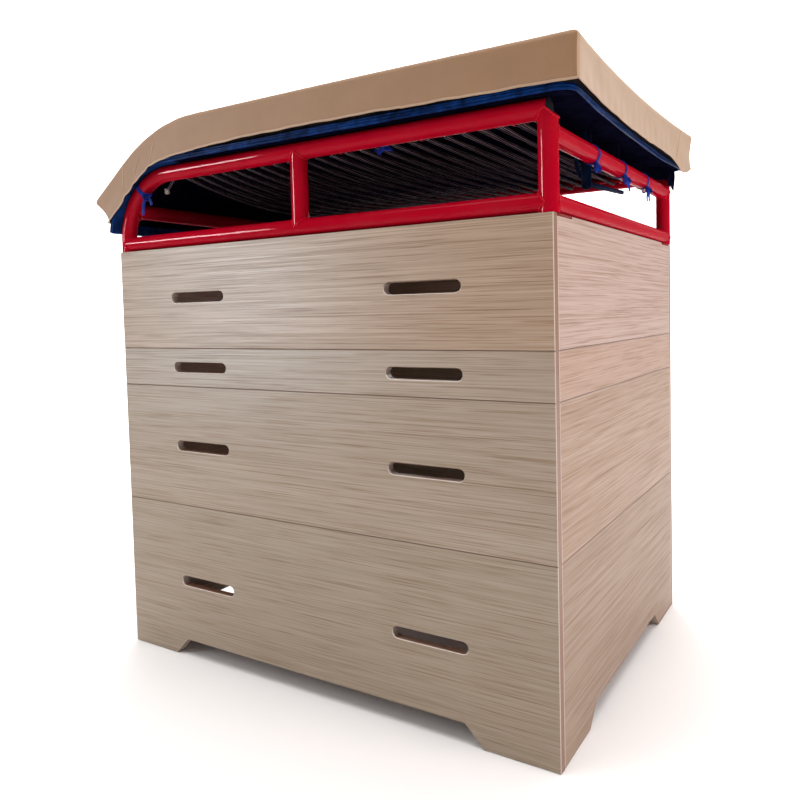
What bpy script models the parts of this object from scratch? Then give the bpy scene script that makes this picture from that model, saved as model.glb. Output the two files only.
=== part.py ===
"""Vault trainer: four lift-off plywood box sections under a welded tube frame, a corded bed and a padded top.

Units are metres and +Z is up. The origin is on the floor under the middle of the box, the rounded
run-up end (the nose) is at -X, the rear end at +X, the right side at -Y and the left side at +Y.
"""

import math

import bmesh
import bpy
from mathutils import Matrix, Vector

# Plywood box
BOX_LENGTH = 1.200
BOX_WIDTH = 0.900
BASE_HEIGHT = 0.390
THIRD_HEIGHT = 0.300
SECOND_HEIGHT = 0.095
TOP_HEIGHT = 0.250
PLY = 0.020
ARRIS = 0.0012
FIT_GAP = 0.0003

# Hand slots, two in each long panel, at the middle of its height
SLOT_LENGTH = 0.180
SLOT_HEIGHT = 0.025
SLOT_SPACING = 0.640
SLOT_ARC_STEPS = 5

# Feet of the base section
SIDE_FOOT_LENGTH = 0.160
END_FOOT_LENGTH = 0.165
ARCH_HEIGHT = 0.042
ARCH_SLANT = 0.042

# Corner blocks, whose lower ends drop into the section below
BLOCK_SIZE = 0.045
TONGUE_LENGTH = 0.050
TONGUE_TAPER = 0.003
TONGUE_ROOM = 0.005
BLOCK_LIFT = 0.005

# Steel tube frame
TUBE_DIAMETER = 0.038
TUBE_WALL = 0.0025
FRAME_HEIGHT = 0.206
FRAME_PROUD = 0.004
NOSE_BEND_RADIUS = 0.160
NOSE_BEND_STEPS = 8
CROSS_TUBE_DROP = 0.042
NOSE_CROSS_HEIGHT = 0.105
MID_POST_X = 0.0
RAIL_PAST_POST = 0.002
TUBE_BEVEL_RESOLUTION = 6

# Plastic plugs in the rear ends of the top rails
PLUG_HEAD_HEIGHT = 0.0035
PLUG_DEPTH = 0.015
PLUG_SIDES = 16

# Foot plates and the bolts that hold the frame down
BOLT_SIDES = 6
PLATE_THICKNESS = 0.005
PLATE_LENGTH = 0.080
PLATE_WIDTH = 0.066
BOLT_HEAD_RADIUS = 0.0075
BOLT_HEAD_HEIGHT = 0.0053
BOLT_RADIUS = 0.004
BOLT_LENGTH = 0.045
BOLT_CLEARANCE = 0.005

# Lacing rods and their tabs, inside the top rails
ROD_RADIUS = 0.005
ROD_STANDOFF = 0.022
ROD_OVERRUN = 0.014
ROD_BEVEL_RESOLUTION = 3
TAB_THICKNESS = 0.005
TAB_HEIGHT = 0.018
TAB_LIP = 0.006
TAB_EVERY = 5

# Elastic cord, wound across the two lacing rods
CORD_RADIUS = 0.004
CORD_SEAT = 0.001
CORD_LOOPS = 24
BED_REAR_X = 0.540
BED_NOSE_X = -0.440
SAG_REAR = 0.004
SAG_NOSE = 0.050
CORD_END_DROP = 0.034
CORD_BEVEL_RESOLUTION = 1
KNOT_RADIUS = 0.008
KNOT_LENGTH = 0.014
KNOT_SIDES = 8

# Padded top
PAD_LENGTH = 1.320
PAD_WIDTH = 0.950
PAD_NOSE_OVERHANG = 0.060
PAD_ARCH = 0.005
PAD_CROWN = 0.004
PAD_NOSE_RADIUS = 0.440
PAD_NOSE_START = -0.290
PAD_NOSE_SLOPE = math.radians(34.8)
PAD_NOSE_ROUND = 0.0031
PAD_EDGE_RADIUS = 0.007
BAND_DEPTH = 0.084
BAND_LIFT = 0.009
BAND_LIFT_LEAN = 0.6
BAND_NOSE_RISE = 0.012
BAND_NOSE_GAP = 0.003
BAND_REAR_DROP = 0.018
BAND_DRAW_IN = 0.004
BAND_WAIST = 0.55
COVER_THICKNESS = 0.002
NOSE_WALL_TURN = math.radians(42.0)
PAD_NOSE_STATIONS = 9
PAD_FLAT_STATIONS = 7
PAD_ROWS = 9

# Base mat under the pad
MAT_THICKNESS = 0.0114
MAT_SIDE_OVERHANG = 0.017
MAT_REAR_OVERHANG = 0.036
MAT_WRAP = math.radians(83.5)
MAT_BEND_STEPS = 9
MAT_CORNER_RADIUS = 0.035
FOAM_SEAT = 0.0015
FOAM_TOP_ROOM = 0.0012
FLAP_WIDTH = 0.067
FLAP_DROP = 0.054
FLAP_THICKNESS = 0.004
FLAP_STANDOFF = 0.0035

# Ties that hold the base mat to the frame
TIE_THICKNESS = 0.0015
TIE_WIDTH = 0.010
TIE_TAIL_LENGTH = 0.040
TIE_TAIL_WIDTH = 0.004
TIE_ARC_STEPS = 10
REAR_TIE_PITCH = 0.198
REAR_TIE_MIDDLE_Y = 0.007
RAIL_TIE_X = 0.250
NOSE_TIE_STEP = 3.5

# Places that follow from the sizes above
SECTIONS = (
    ("base", BASE_HEIGHT),
    ("third", THIRD_HEIGHT),
    ("second", SECOND_HEIGHT),
    ("top", TOP_HEIGHT),
)
HALF_LENGTH = BOX_LENGTH / 2
HALF_WIDTH = BOX_WIDTH / 2
FRAME_BASE = BASE_HEIGHT + THIRD_HEIGHT + SECOND_HEIGHT + TOP_HEIGHT
TUBE_RADIUS = TUBE_DIAMETER / 2
RAIL_Y = HALF_WIDTH - TUBE_RADIUS
REAR_X = HALF_LENGTH + FRAME_PROUD - TUBE_RADIUS
TOP_RAIL_Z = FRAME_BASE + FRAME_HEIGHT - TUBE_RADIUS
BOTTOM_RAIL_Z = FRAME_BASE + TUBE_RADIUS
CROSS_TUBE_Z = TOP_RAIL_Z - CROSS_TUBE_DROP
NOSE_X = -REAR_X + NOSE_BEND_RADIUS
NOSE_Z = TOP_RAIL_Z - NOSE_BEND_RADIUS
PLATE_TOP = FRAME_BASE - FIT_GAP
PLATE_BOTTOM = PLATE_TOP - PLATE_THICKNESS
BLOCK_CENTRE_X = HALF_LENGTH - PLY - FIT_GAP - BLOCK_SIZE / 2
BLOCK_CENTRE_Y = HALF_WIDTH - PLY - FIT_GAP - BLOCK_SIZE / 2
BOLT_X = REAR_X - TUBE_RADIUS - BOLT_HEAD_RADIUS - BOLT_CLEARANCE
BOLT_Y = RAIL_Y - TUBE_RADIUS - BOLT_HEAD_RADIUS - BOLT_CLEARANCE
ROD_Y = RAIL_Y - TUBE_RADIUS - ROD_STANDOFF
CORD_TURN = ROD_RADIUS + CORD_RADIUS + CORD_SEAT
CORD_PASSES = 2 * CORD_LOOPS - 1
CORD_STEP = (BED_REAR_X - BED_NOSE_X) / CORD_PASSES
MAT_BOTTOM = FRAME_BASE + FRAME_HEIGHT + FIT_GAP
MAT_TOP = MAT_BOTTOM + MAT_THICKNESS
MAT_INNER_RADIUS = NOSE_BEND_RADIUS + TUBE_RADIUS + FIT_GAP
MAT_OUTER_RADIUS = MAT_INNER_RADIUS + MAT_THICKNESS
PAD_TOP = MAT_TOP + FIT_GAP + BAND_DEPTH
PAD_REAR_X = PAD_LENGTH - HALF_LENGTH - PAD_NOSE_OVERHANG
PAD_NOSE_Z = PAD_TOP - PAD_NOSE_RADIUS
PAD_BEND_END_X = PAD_NOSE_START - PAD_NOSE_RADIUS * math.sin(PAD_NOSE_SLOPE)
PAD_BEND_END_Z = PAD_NOSE_Z + PAD_NOSE_RADIUS * math.cos(PAD_NOSE_SLOPE)
PAD_NOSE_END_X = -HALF_LENGTH - PAD_NOSE_OVERHANG - PAD_NOSE_ROUND
PAD_RAMP = (PAD_BEND_END_X - PAD_NOSE_END_X) / math.cos(PAD_NOSE_SLOPE)
PAD_FLAT_START = PAD_RAMP + PAD_NOSE_RADIUS * PAD_NOSE_SLOPE
PAD_RUN = PAD_FLAT_START + PAD_REAR_X - PAD_NOSE_START

# Colours and finishes: red, green, blue, roughness, metallic
PLYWOOD = (0.52, 0.42, 0.33, 0.55, 0.0)
BLOCK_WOOD = (0.45, 0.33, 0.21, 0.65, 0.0)
RED_PAINT = (0.42, 0.01, 0.02, 0.25, 0.3)
ZINC_STEEL = (0.55, 0.55, 0.56, 0.35, 1.0)
DARK_PLASTIC = (0.03, 0.03, 0.035, 0.45, 0.0)
BLACK_CORD = (0.03, 0.02, 0.03, 0.8, 0.0)
BLUE_SHEET = (0.01, 0.04, 0.22, 0.45, 0.0)
TAN_COVER = (0.40, 0.26, 0.16, 0.75, 0.0)
PALE_FOAM = (0.75, 0.70, 0.55, 0.9, 0.0)

for old_object in list(bpy.data.objects):
    bpy.data.objects.remove(old_object, do_unlink=True)

parts = bpy.data.collections.new("vault_trainer")
cutters = bpy.data.collections.new("cutters")
bpy.context.scene.collection.children.link(parts)
bpy.context.scene.collection.children.link(cutters)
materials = {}


def finish(obj, look):
    """Give an object its own Principled material."""
    material = materials.get(obj.name)
    if material is None:
        material = bpy.data.materials.new(obj.name)
        materials[obj.name] = material
    material.use_nodes = True
    shader = material.node_tree.nodes["Principled BSDF"]
    shader.inputs["Base Color"].default_value = (look[0], look[1], look[2], 1.0)
    shader.inputs["Roughness"].default_value = look[3]
    shader.inputs["Metallic"].default_value = look[4]
    obj.data.materials.clear()
    obj.data.materials.append(material)


def add_part(name, data, look, place=None):
    """Put a mesh in the part's collection under its own name."""
    obj = bpy.data.objects.new(name, data)
    obj.matrix_world = place or Matrix.Identity(4)
    parts.objects.link(obj)
    finish(obj, look)
    return obj


def add_cutter(name, data, place=None):
    """Put a closed mesh in the cutters' collection."""
    obj = bpy.data.objects.new(name, data)
    obj.matrix_world = place or Matrix.Identity(4)
    obj.hide_render = True
    obj.display_type = "WIRE"
    cutters.objects.link(obj)
    return obj


def cut(obj, cutter):
    """Subtract a cutter from an object with an exact Boolean."""
    modifier = obj.modifiers.new(cutter.name, "BOOLEAN")
    modifier.operation = "DIFFERENCE"
    modifier.object = cutter
    modifier.solver = "EXACT"


def join(obj, other):
    """Unite an object with another closed mesh by an exact Boolean."""
    modifier = obj.modifiers.new(other.name, "BOOLEAN")
    modifier.operation = "UNION"
    modifier.object = other
    modifier.solver = "EXACT"


def baked_mesh(obj):
    """Turn a curve or modified object into a plain mesh and remove the object."""
    bpy.context.view_layer.update()
    evaluated = obj.evaluated_get(bpy.context.evaluated_depsgraph_get())
    mesh = bpy.data.meshes.new_from_object(evaluated)
    mesh.transform(obj.matrix_world)
    bpy.data.objects.remove(obj, do_unlink=True)
    body = bmesh.new()
    body.from_mesh(mesh)
    bmesh.ops.remove_doubles(body, verts=body.verts, dist=0.00001)
    body.to_mesh(mesh)
    body.free()
    return mesh


def copies(mesh, places):
    """Return one mesh that holds a copy of the given mesh at each place."""
    body = bmesh.new()
    for place in places:
        single = mesh.copy()
        single.transform(place)
        body.from_mesh(single)
        bpy.data.meshes.remove(single)
    result = bpy.data.meshes.new(mesh.name)
    body.to_mesh(result)
    body.free()
    return result


def box_mesh(name, low, high):
    """A closed box between two corners."""
    body = bmesh.new()
    bmesh.ops.create_cube(body, size=1.0)
    size = Vector(high) - Vector(low)
    middle = (Vector(high) + Vector(low)) / 2
    bmesh.ops.scale(body, vec=size, verts=body.verts)
    bmesh.ops.translate(body, vec=middle, verts=body.verts)
    mesh = bpy.data.meshes.new(name)
    body.to_mesh(mesh)
    body.free()
    return mesh


def turned_mesh(name, profile, sides):
    """Turn a profile of (radius, height) points, listed from top to bottom, about the Z axis."""
    mesh = bpy.data.meshes.new(name)
    points = [(radius, 0.0, height) for radius, height in profile]
    mesh.from_pydata(points, [(i, i + 1) for i in range(len(points) - 1)], [])
    obj = bpy.data.objects.new(name, mesh)
    parts.objects.link(obj)
    screw = obj.modifiers.new("turn", "SCREW")
    screw.steps = sides
    screw.render_steps = sides
    screw.use_merge_vertices = True
    screw.merge_threshold = 0.00001
    return baked_mesh(obj)


def tube_mesh(name, points, radius, resolution, caps=True):
    """A round tube along a line of points, capped or left open at its ends."""
    curve = bpy.data.curves.new(name, "CURVE")
    curve.dimensions = "3D"
    spline = curve.splines.new("POLY")
    spline.points.add(len(points) - 1)
    for spot, point in zip(spline.points, points):
        spot.co = (*point, 1.0)
    curve.bevel_depth = radius
    curve.bevel_resolution = resolution
    curve.use_fill_caps = caps
    obj = bpy.data.objects.new(name, curve)
    parts.objects.link(obj)
    return baked_mesh(obj)


def outline_mesh(name, outer, holes, thickness, arris):
    """A flat board in local XY, centred on local Z, with an arris round its edges and its holes."""
    curve = bpy.data.curves.new(name, "CURVE")
    curve.dimensions = "2D"
    curve.fill_mode = "BOTH"
    curve.extrude = thickness / 2 - arris
    curve.bevel_depth = arris
    curve.bevel_resolution = 0
    curve.offset = -arris
    for loop in [outer] + [list(reversed(hole)) for hole in holes]:
        spline = curve.splines.new("POLY")
        spline.points.add(len(loop) - 1)
        for spot, point in zip(spline.points, loop):
            spot.co = (point[0], point[1], 0.0, 1.0)
        spline.use_cyclic_u = True
    obj = bpy.data.objects.new(name, curve)
    parts.objects.link(obj)
    return baked_mesh(obj)


def arc(centre, radius, start, end, steps):
    """Points on an arc in a plane, angles in radians from the first axis."""
    angles = [start + (end - start) * i / steps for i in range(steps + 1)]
    return [(centre[0] + radius * math.cos(a), centre[1] + radius * math.sin(a)) for a in angles]


# The four corners: end, side, signs of X and Y, and the turn that brings a +X+Y corner there
CORNERS = (
    ("rear", "left", 1, 1, 0.0),
    ("nose", "left", -1, 1, math.pi / 2),
    ("nose", "right", -1, -1, math.pi),
    ("rear", "right", 1, -1, -math.pi / 2),
)

# A board drawn in local XY stands in the XZ plane, or in the YZ plane
ALONG_X = Matrix.Rotation(math.pi / 2, 4, "X")
ALONG_Y = Matrix.Rotation(math.pi / 2, 4, "Z") @ Matrix.Rotation(math.pi / 2, 4, "X")


def section_spans():
    """Lowest and highest level of each box section."""
    spans = {}
    low = 0.0
    for name, height in SECTIONS:
        spans[name] = (low, low + height)
        low += height
    return spans


def footed_outline(half, low, high, foot):
    """A board outline that stands on two feet with an arch between them."""
    inner = half - foot
    arch = inner - ARCH_SLANT
    top = high - FIT_GAP
    return [
        (-half, low),
        (-inner, low),
        (-arch, low + ARCH_HEIGHT),
        (arch, low + ARCH_HEIGHT),
        (inner, low),
        (half, low),
        (half, top),
        (-half, top),
    ]


def plain_outline(half, low, high):
    """A plain rectangular board outline."""
    top = high - FIT_GAP
    return [(-half, low), (half, low), (half, top), (-half, top)]


def notched_outline(half, low, high):
    """A board outline whose top edge is let down at both ends for the foot plates."""
    top = high - FIT_GAP
    floor = PLATE_BOTTOM - FIT_GAP
    notch = HALF_WIDTH - PLY - 2 * FIT_GAP - PLATE_LENGTH - FIT_GAP
    return [
        (-half, low),
        (half, low),
        (half, floor),
        (notch, floor),
        (notch, top),
        (-notch, top),
        (-notch, floor),
        (-half, floor),
    ]


def slot_outlines(low, high):
    """The two hand slots of a long panel."""
    radius = SLOT_HEIGHT / 2
    reach = SLOT_LENGTH / 2 - radius
    level = (low + high) / 2
    slots = []
    for centre in (-SLOT_SPACING / 2, SLOT_SPACING / 2):
        right = arc((centre + reach, level), radius, -math.pi / 2, math.pi / 2, SLOT_ARC_STEPS)
        left = arc((centre - reach, level), radius, math.pi / 2, 1.5 * math.pi, SLOT_ARC_STEPS)
        slots.append(right + left)
    return slots


def block_span(name, low, high):
    """Lowest and highest level of a section's corner blocks."""
    bottom = low + BLOCK_LIFT if name == "base" else low - TONGUE_LENGTH
    top = PLATE_BOTTOM - FIT_GAP if name == "top" else high - TONGUE_LENGTH - TONGUE_ROOM
    return bottom, top


def corner_block_mesh(name, low, bottom, top):
    """A square batten whose end below the section's edge tapers away from the panels' side."""
    half = BLOCK_SIZE / 2
    mesh = box_mesh(name, (-half, -half, bottom), (half, half, top))
    if bottom >= low:
        return mesh
    body = bmesh.new()
    body.from_mesh(mesh)
    geometry = body.verts[:] + body.edges[:] + body.faces[:]
    bmesh.ops.bisect_plane(body, geom=geometry, plane_co=(0, 0, low), plane_no=(0, 0, 1))
    for vertex in body.verts:
        if vertex.co.z < low - TONGUE_LENGTH / 2:
            vertex.co.x = min(vertex.co.x, half - TONGUE_TAPER)
            vertex.co.y = min(vertex.co.y, half - TONGUE_TAPER)
    body.to_mesh(mesh)
    body.free()
    return mesh


def make_section(name, low, high, bolt_cutter):
    """Two slotted long panels, two end panels and four corner blocks."""
    end_half = HALF_WIDTH - PLY - FIT_GAP
    if name == "base":
        side = footed_outline(HALF_LENGTH, low, high, SIDE_FOOT_LENGTH)
        end = footed_outline(end_half, low, high, END_FOOT_LENGTH - PLY)
    elif name == "top":
        side = plain_outline(HALF_LENGTH, low, high)
        end = notched_outline(end_half, low, high)
    else:
        side = plain_outline(HALF_LENGTH, low, high)
        end = plain_outline(end_half, low, high)
    boards = (
        ("right_panel", side, slot_outlines(low, high), ALONG_X, (0.0, PLY / 2 - HALF_WIDTH, 0.0)),
        ("left_panel", side, slot_outlines(low, high), ALONG_X, (0.0, HALF_WIDTH - PLY / 2, 0.0)),
        ("nose_panel", end, [], ALONG_Y, (PLY / 2 - HALF_LENGTH, 0.0, 0.0)),
        ("rear_panel", end, [], ALONG_Y, (HALF_LENGTH - PLY / 2, 0.0, 0.0)),
    )
    for label, outer, slots, turn, spot in boards:
        mesh = outline_mesh(f"{name}_{label}", outer, slots, PLY, ARRIS)
        add_part(f"{name}_{label}", mesh, PLYWOOD, Matrix.Translation(spot) @ turn)
    bottom, top = block_span(name, low, high)
    for end_label, side_label, sx, sy, turn in CORNERS:
        mesh = corner_block_mesh(name + "_block", low, bottom, top)
        spot = Matrix.Translation((sx * BLOCK_CENTRE_X, sy * BLOCK_CENTRE_Y, 0.0))
        place = spot @ Matrix.Rotation(turn, 4, "Z")
        block = add_part(f"{name}_{end_label}_{side_label}_block", mesh, BLOCK_WOOD, place)
        if name == "top":
            cut(block, bolt_cutter)


def rail_path(side, rear_x, foot_z):
    """Centre line of a top rail: up from the plywood, round the nose bend and back along the top."""
    y = side * RAIL_Y
    bend = arc((NOSE_X, NOSE_Z), NOSE_BEND_RADIUS, math.pi, math.pi / 2, NOSE_BEND_STEPS)
    return [(-REAR_X, y, foot_z)] + [(x, y, z) for x, z in bend] + [(rear_x, y, TOP_RAIL_Z)]


def add_tube(name, points, tube_cutters):
    """A steel tube with a real wall, coped to each neighbour that it is welded to."""
    mesh = tube_mesh(name, points, TUBE_RADIUS, TUBE_BEVEL_RESOLUTION, caps=False)
    obj = add_part(name, mesh, RED_PAINT)
    wall = obj.modifiers.new("wall", "SOLIDIFY")
    wall.thickness = TUBE_WALL
    wall.offset = -1.0
    for cutter in tube_cutters:
        cut(obj, cutter)
    return obj


def make_frame():
    """The welded tube frame: two bent top rails, bottom rails, posts and cross tubes."""
    clear = TUBE_RADIUS + FIT_GAP
    past_end = REAR_X + 2 * TUBE_RADIUS
    top_cutters = {}
    post_cutters = {}
    bottom_cutters = {}
    for side, label in ((-1, "right"), (1, "left")):
        y = side * RAIL_Y
        path = rail_path(side, past_end, FRAME_BASE - TUBE_RADIUS)
        mesh = tube_mesh(label + "_top_rail_cutter", path, clear, TUBE_BEVEL_RESOLUTION)
        top_cutters[side] = add_cutter(label + "_top_rail_cutter", mesh)
        path = [(REAR_X, y, FRAME_BASE - TUBE_RADIUS), (REAR_X, y, TOP_RAIL_Z)]
        mesh = tube_mesh(label + "_post_cutter", path, clear, TUBE_BEVEL_RESOLUTION)
        post_cutters[side] = add_cutter(label + "_post_cutter", mesh)
        path = [(-REAR_X, y, BOTTOM_RAIL_Z), (REAR_X, y, BOTTOM_RAIL_Z)]
        mesh = tube_mesh(label + "_bottom_rail_cutter", path, clear, TUBE_BEVEL_RESOLUTION)
        bottom_cutters[side] = add_cutter(label + "_bottom_rail_cutter", mesh)
    for side, label in ((-1, "right"), (1, "left")):
        y = side * RAIL_Y
        add_tube(label + "_top_rail", rail_path(side, REAR_X + RAIL_PAST_POST, FRAME_BASE), [])
        path = [(-REAR_X, y, BOTTOM_RAIL_Z), (REAR_X, y, BOTTOM_RAIL_Z)]
        add_tube(label + "_bottom_rail", path, [top_cutters[side], post_cutters[side]])
        path = [(MID_POST_X, y, BOTTOM_RAIL_Z), (MID_POST_X, y, TOP_RAIL_Z)]
        add_tube(label + "_mid_post", path, [bottom_cutters[side], top_cutters[side]])
        path = [(REAR_X, y, FRAME_BASE), (REAR_X, y, TOP_RAIL_Z)]
        add_tube(label + "_rear_post", path, [top_cutters[side]])
    posts = [post_cutters[-1], post_cutters[1]]
    rails = [top_cutters[-1], top_cutters[1]]
    bottoms = [bottom_cutters[-1], bottom_cutters[1]]
    path = [(REAR_X, -RAIL_Y, CROSS_TUBE_Z), (REAR_X, RAIL_Y, CROSS_TUBE_Z)]
    add_tube("rear_cross_tube", path, posts)
    path = [(REAR_X, -RAIL_Y, BOTTOM_RAIL_Z), (REAR_X, RAIL_Y, BOTTOM_RAIL_Z)]
    add_tube("rear_bottom_rail", path, posts + bottoms)
    path = [(-REAR_X, -RAIL_Y, BOTTOM_RAIL_Z), (-REAR_X, RAIL_Y, BOTTOM_RAIL_Z)]
    add_tube("nose_bottom_rail", path, rails + bottoms)
    cross_z = FRAME_BASE + NOSE_CROSS_HEIGHT
    rise = max(cross_z - NOSE_Z, 0.0)
    cross_x = NOSE_X - math.sqrt(max(NOSE_BEND_RADIUS**2 - rise**2, 0.0))
    path = [(cross_x, -RAIL_Y, cross_z), (cross_x, RAIL_Y, cross_z)]
    add_tube("nose_cross_tube", path, rails)


def make_plugs():
    """Push-in plugs that close the rear ends of the two top rails."""
    inner = TUBE_RADIUS - TUBE_WALL - 2 * FIT_GAP
    profile = [
        (0.0, PLUG_HEAD_HEIGHT),
        (TUBE_RADIUS, PLUG_HEAD_HEIGHT),
        (TUBE_RADIUS, 0.0),
        (inner, 0.0),
        (inner, -PLUG_DEPTH),
        (0.0, -PLUG_DEPTH),
    ]
    turn = Matrix.Rotation(math.pi / 2, 4, "Y")
    x = REAR_X + RAIL_PAST_POST + FIT_GAP
    for side, label in ((-1, "right"), (1, "left")):
        place = Matrix.Translation((x, side * RAIL_Y, TOP_RAIL_Z)) @ turn
        plug = turned_mesh(label + "_rail_plug", profile, PLUG_SIDES)
        add_part(label + "_rail_plug", plug, DARK_PLASTIC, place)


def bolt_profile(clearance):
    """Half section of a frame bolt with its head on the foot plate, or of its hole."""
    shank = BOLT_RADIUS + clearance
    tip = -(BOLT_LENGTH + clearance)
    if clearance:
        top = BOLT_HEAD_HEIGHT
        return [(0.0, top), (shank, top), (shank, tip), (0.0, tip)]
    return [
        (0.0, BOLT_HEAD_HEIGHT),
        (BOLT_HEAD_RADIUS, BOLT_HEAD_HEIGHT),
        (BOLT_HEAD_RADIUS, 0.0),
        (shank, 0.0),
        (shank, tip),
        (0.0, tip),
    ]


def make_feet():
    """Steel plates let into the end panels under the frame's corners, and their bolts."""
    level = PLATE_TOP + FIT_GAP
    outer_y = HALF_WIDTH - PLY - 2 * FIT_GAP
    size = Vector((PLATE_WIDTH, PLATE_LENGTH, PLATE_THICKNESS)) / 2
    hole = turned_mesh("bolt_hole", bolt_profile(FIT_GAP), BOLT_SIDES)
    spots = [Matrix.Translation((sx * BOLT_X, sy * BOLT_Y, level)) for _, _, sx, sy, _ in CORNERS]
    bolt_cutter = add_cutter("bolt_holes", copies(hole, spots))
    for end_label, side_label, sx, sy, _ in CORNERS:
        label = f"{end_label}_{side_label}"
        middle_x = sx * (HALF_LENGTH - PLATE_WIDTH / 2)
        middle_y = sy * (outer_y - PLATE_LENGTH / 2)
        spot = Matrix.Translation((middle_x, middle_y, PLATE_TOP - PLATE_THICKNESS / 2))
        plate = add_part(label + "_foot_plate", box_mesh("plate", -size, size), RED_PAINT, spot)
        cut(plate, bolt_cutter)
        bolt = turned_mesh("bolt", bolt_profile(0.0), BOLT_SIDES)
        spot = Matrix.Translation((sx * BOLT_X, sy * BOLT_Y, level))
        add_part(label + "_frame_bolt", bolt, ZINC_STEEL, spot)
    return bolt_cutter


def make_lacing_rods():
    """The rods that the cord is wound on, with the tabs that weld them to the top rails."""
    nose_x = BED_NOSE_X - ROD_OVERRUN
    rear_x = BED_REAR_X + ROD_OVERRUN
    for side, label in ((-1, "right"), (1, "left")):
        y = side * ROD_Y
        path = [(nose_x, y, TOP_RAIL_Z), (rear_x, y, TOP_RAIL_Z)]
        bar = tube_mesh(label + "_lacing_rod", path, ROD_RADIUS, ROD_BEVEL_RESOLUTION)
        rod = add_part(label + "_lacing_rod", bar, RED_PAINT)
        path = [(nose_x, side * RAIL_Y, TOP_RAIL_Z), (rear_x, side * RAIL_Y, TOP_RAIL_Z)]
        wide = tube_mesh(label + "_tab_cutter", path, TUBE_RADIUS + FIT_GAP, TUBE_BEVEL_RESOLUTION)
        rail_cutter = add_cutter(label + "_tab_cutter", wide)
        first = 2 if side < 0 else 3
        spots = []
        for step in range(first, CORD_PASSES - 1, 2 * TAB_EVERY):
            spots.append(Matrix.Translation((BED_REAR_X - step * CORD_STEP, 0.0, TOP_RAIL_Z)))
        near = side * (ROD_Y - ROD_RADIUS - TAB_LIP)
        far = side * (RAIL_Y - TUBE_RADIUS / 2)
        low = (-TAB_THICKNESS / 2, min(near, far), -TAB_HEIGHT / 2)
        high = (TAB_THICKNESS / 2, max(near, far), TAB_HEIGHT / 2)
        tabs = copies(box_mesh("tab", low, high), spots)
        join(rod, add_cutter(label + "_rod_tabs", tabs))
        cut(rod, rail_cutter)


def cord_sag(x):
    """How far the middle of a pass hangs below the rods: more towards the nose."""
    share = (BED_REAR_X - x) / (BED_REAR_X - BED_NOSE_X)
    return SAG_REAR + (SAG_NOSE - SAG_REAR) * share**2


def cord_turn(x, side, start, end, steps):
    """Points round the outer side of a lacing rod, angles from straight outwards."""
    points = []
    for i in range(steps + 1):
        angle = start + (end - start) * i / steps
        y = side * (ROD_Y + CORD_TURN * math.cos(angle))
        points.append(Vector((x, y, TOP_RAIL_Z + CORD_TURN * math.sin(angle))))
    return points


def cord_path():
    """One cord, wound over the top of one rod and back under, from the rear to the nose."""
    quarter = math.pi / 2
    side = 1
    x = BED_REAR_X
    foot = Vector((x, side * (ROD_Y + CORD_TURN), TOP_RAIL_Z - CORD_END_DROP))
    points = [foot] + cord_turn(x, side, 0.0, quarter, 2)
    for number in range(CORD_PASSES):
        level = 1 if number % 2 == 0 else -1
        for share in (0.25, 0.5, 0.75):
            spot_x = x - CORD_STEP * share
            y = side * ROD_Y * (1 - 2 * share)
            sag = cord_sag(spot_x) * (1 - (y / ROD_Y) ** 2)
            points.append(Vector((spot_x, y, TOP_RAIL_Z + level * CORD_TURN - sag)))
        x -= CORD_STEP
        side = -side
        if number < CORD_PASSES - 1:
            points += cord_turn(x, side, level * quarter, -level * quarter, 4)
    points += cord_turn(x, side, quarter, 0.0, 2)
    points.append(Vector((x, side * (ROD_Y + CORD_TURN), TOP_RAIL_Z - CORD_END_DROP)))
    return points


def segment_distance(a, b, c, d):
    """Least distance between points spread along two straight stretches."""
    least = 1.0
    for i in range(9):
        p = a.lerp(b, i / 8)
        along = d - c
        share = max(0.0, min(1.0, (p - c).dot(along) / along.length_squared))
        least = min(least, (p - (c + along * share)).length)
    return least


def least_gap(points, radius):
    """Least gap between two stretches of the cord that don't follow each other closely."""
    least = 1.0
    for i in range(len(points) - 1):
        middle = (points[i] + points[i + 1]) / 2
        for j in range(i + 6, len(points) - 1):
            other = (points[j] + points[j + 1]) / 2
            if abs(middle.x - other.x) > 3 * CORD_STEP:
                continue
            distance = segment_distance(points[i], points[i + 1], points[j], points[j + 1])
            least = min(least, distance - 2 * radius)
    return least


def make_cord():
    """The elastic cord and the two knots that stop its ends."""
    points = cord_path()
    line = tube_mesh("bed_cord", points, CORD_RADIUS, CORD_BEVEL_RESOLUTION)
    cord = add_part("bed_cord", line, BLACK_CORD)
    print("bed cord, least gap to itself in mm:", round(1000 * least_gap(points, CORD_RADIUS), 2))
    neck = CORD_RADIUS + TIE_THICKNESS
    profile = [
        (0.0, 0.0),
        (neck, 0.0),
        (KNOT_RADIUS, -KNOT_LENGTH / 3),
        (KNOT_RADIUS, -2 * KNOT_LENGTH / 3),
        (neck, -KNOT_LENGTH),
        (0.0, -KNOT_LENGTH),
    ]
    knot = turned_mesh("knot", profile, KNOT_SIDES)
    rise = Vector((0.0, 0.0, KNOT_LENGTH / 3))
    places = [Matrix.Translation(end + rise) for end in (points[0], points[-1])]
    join(cord, add_cutter("cord_end_knots", copies(knot, places)))


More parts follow.
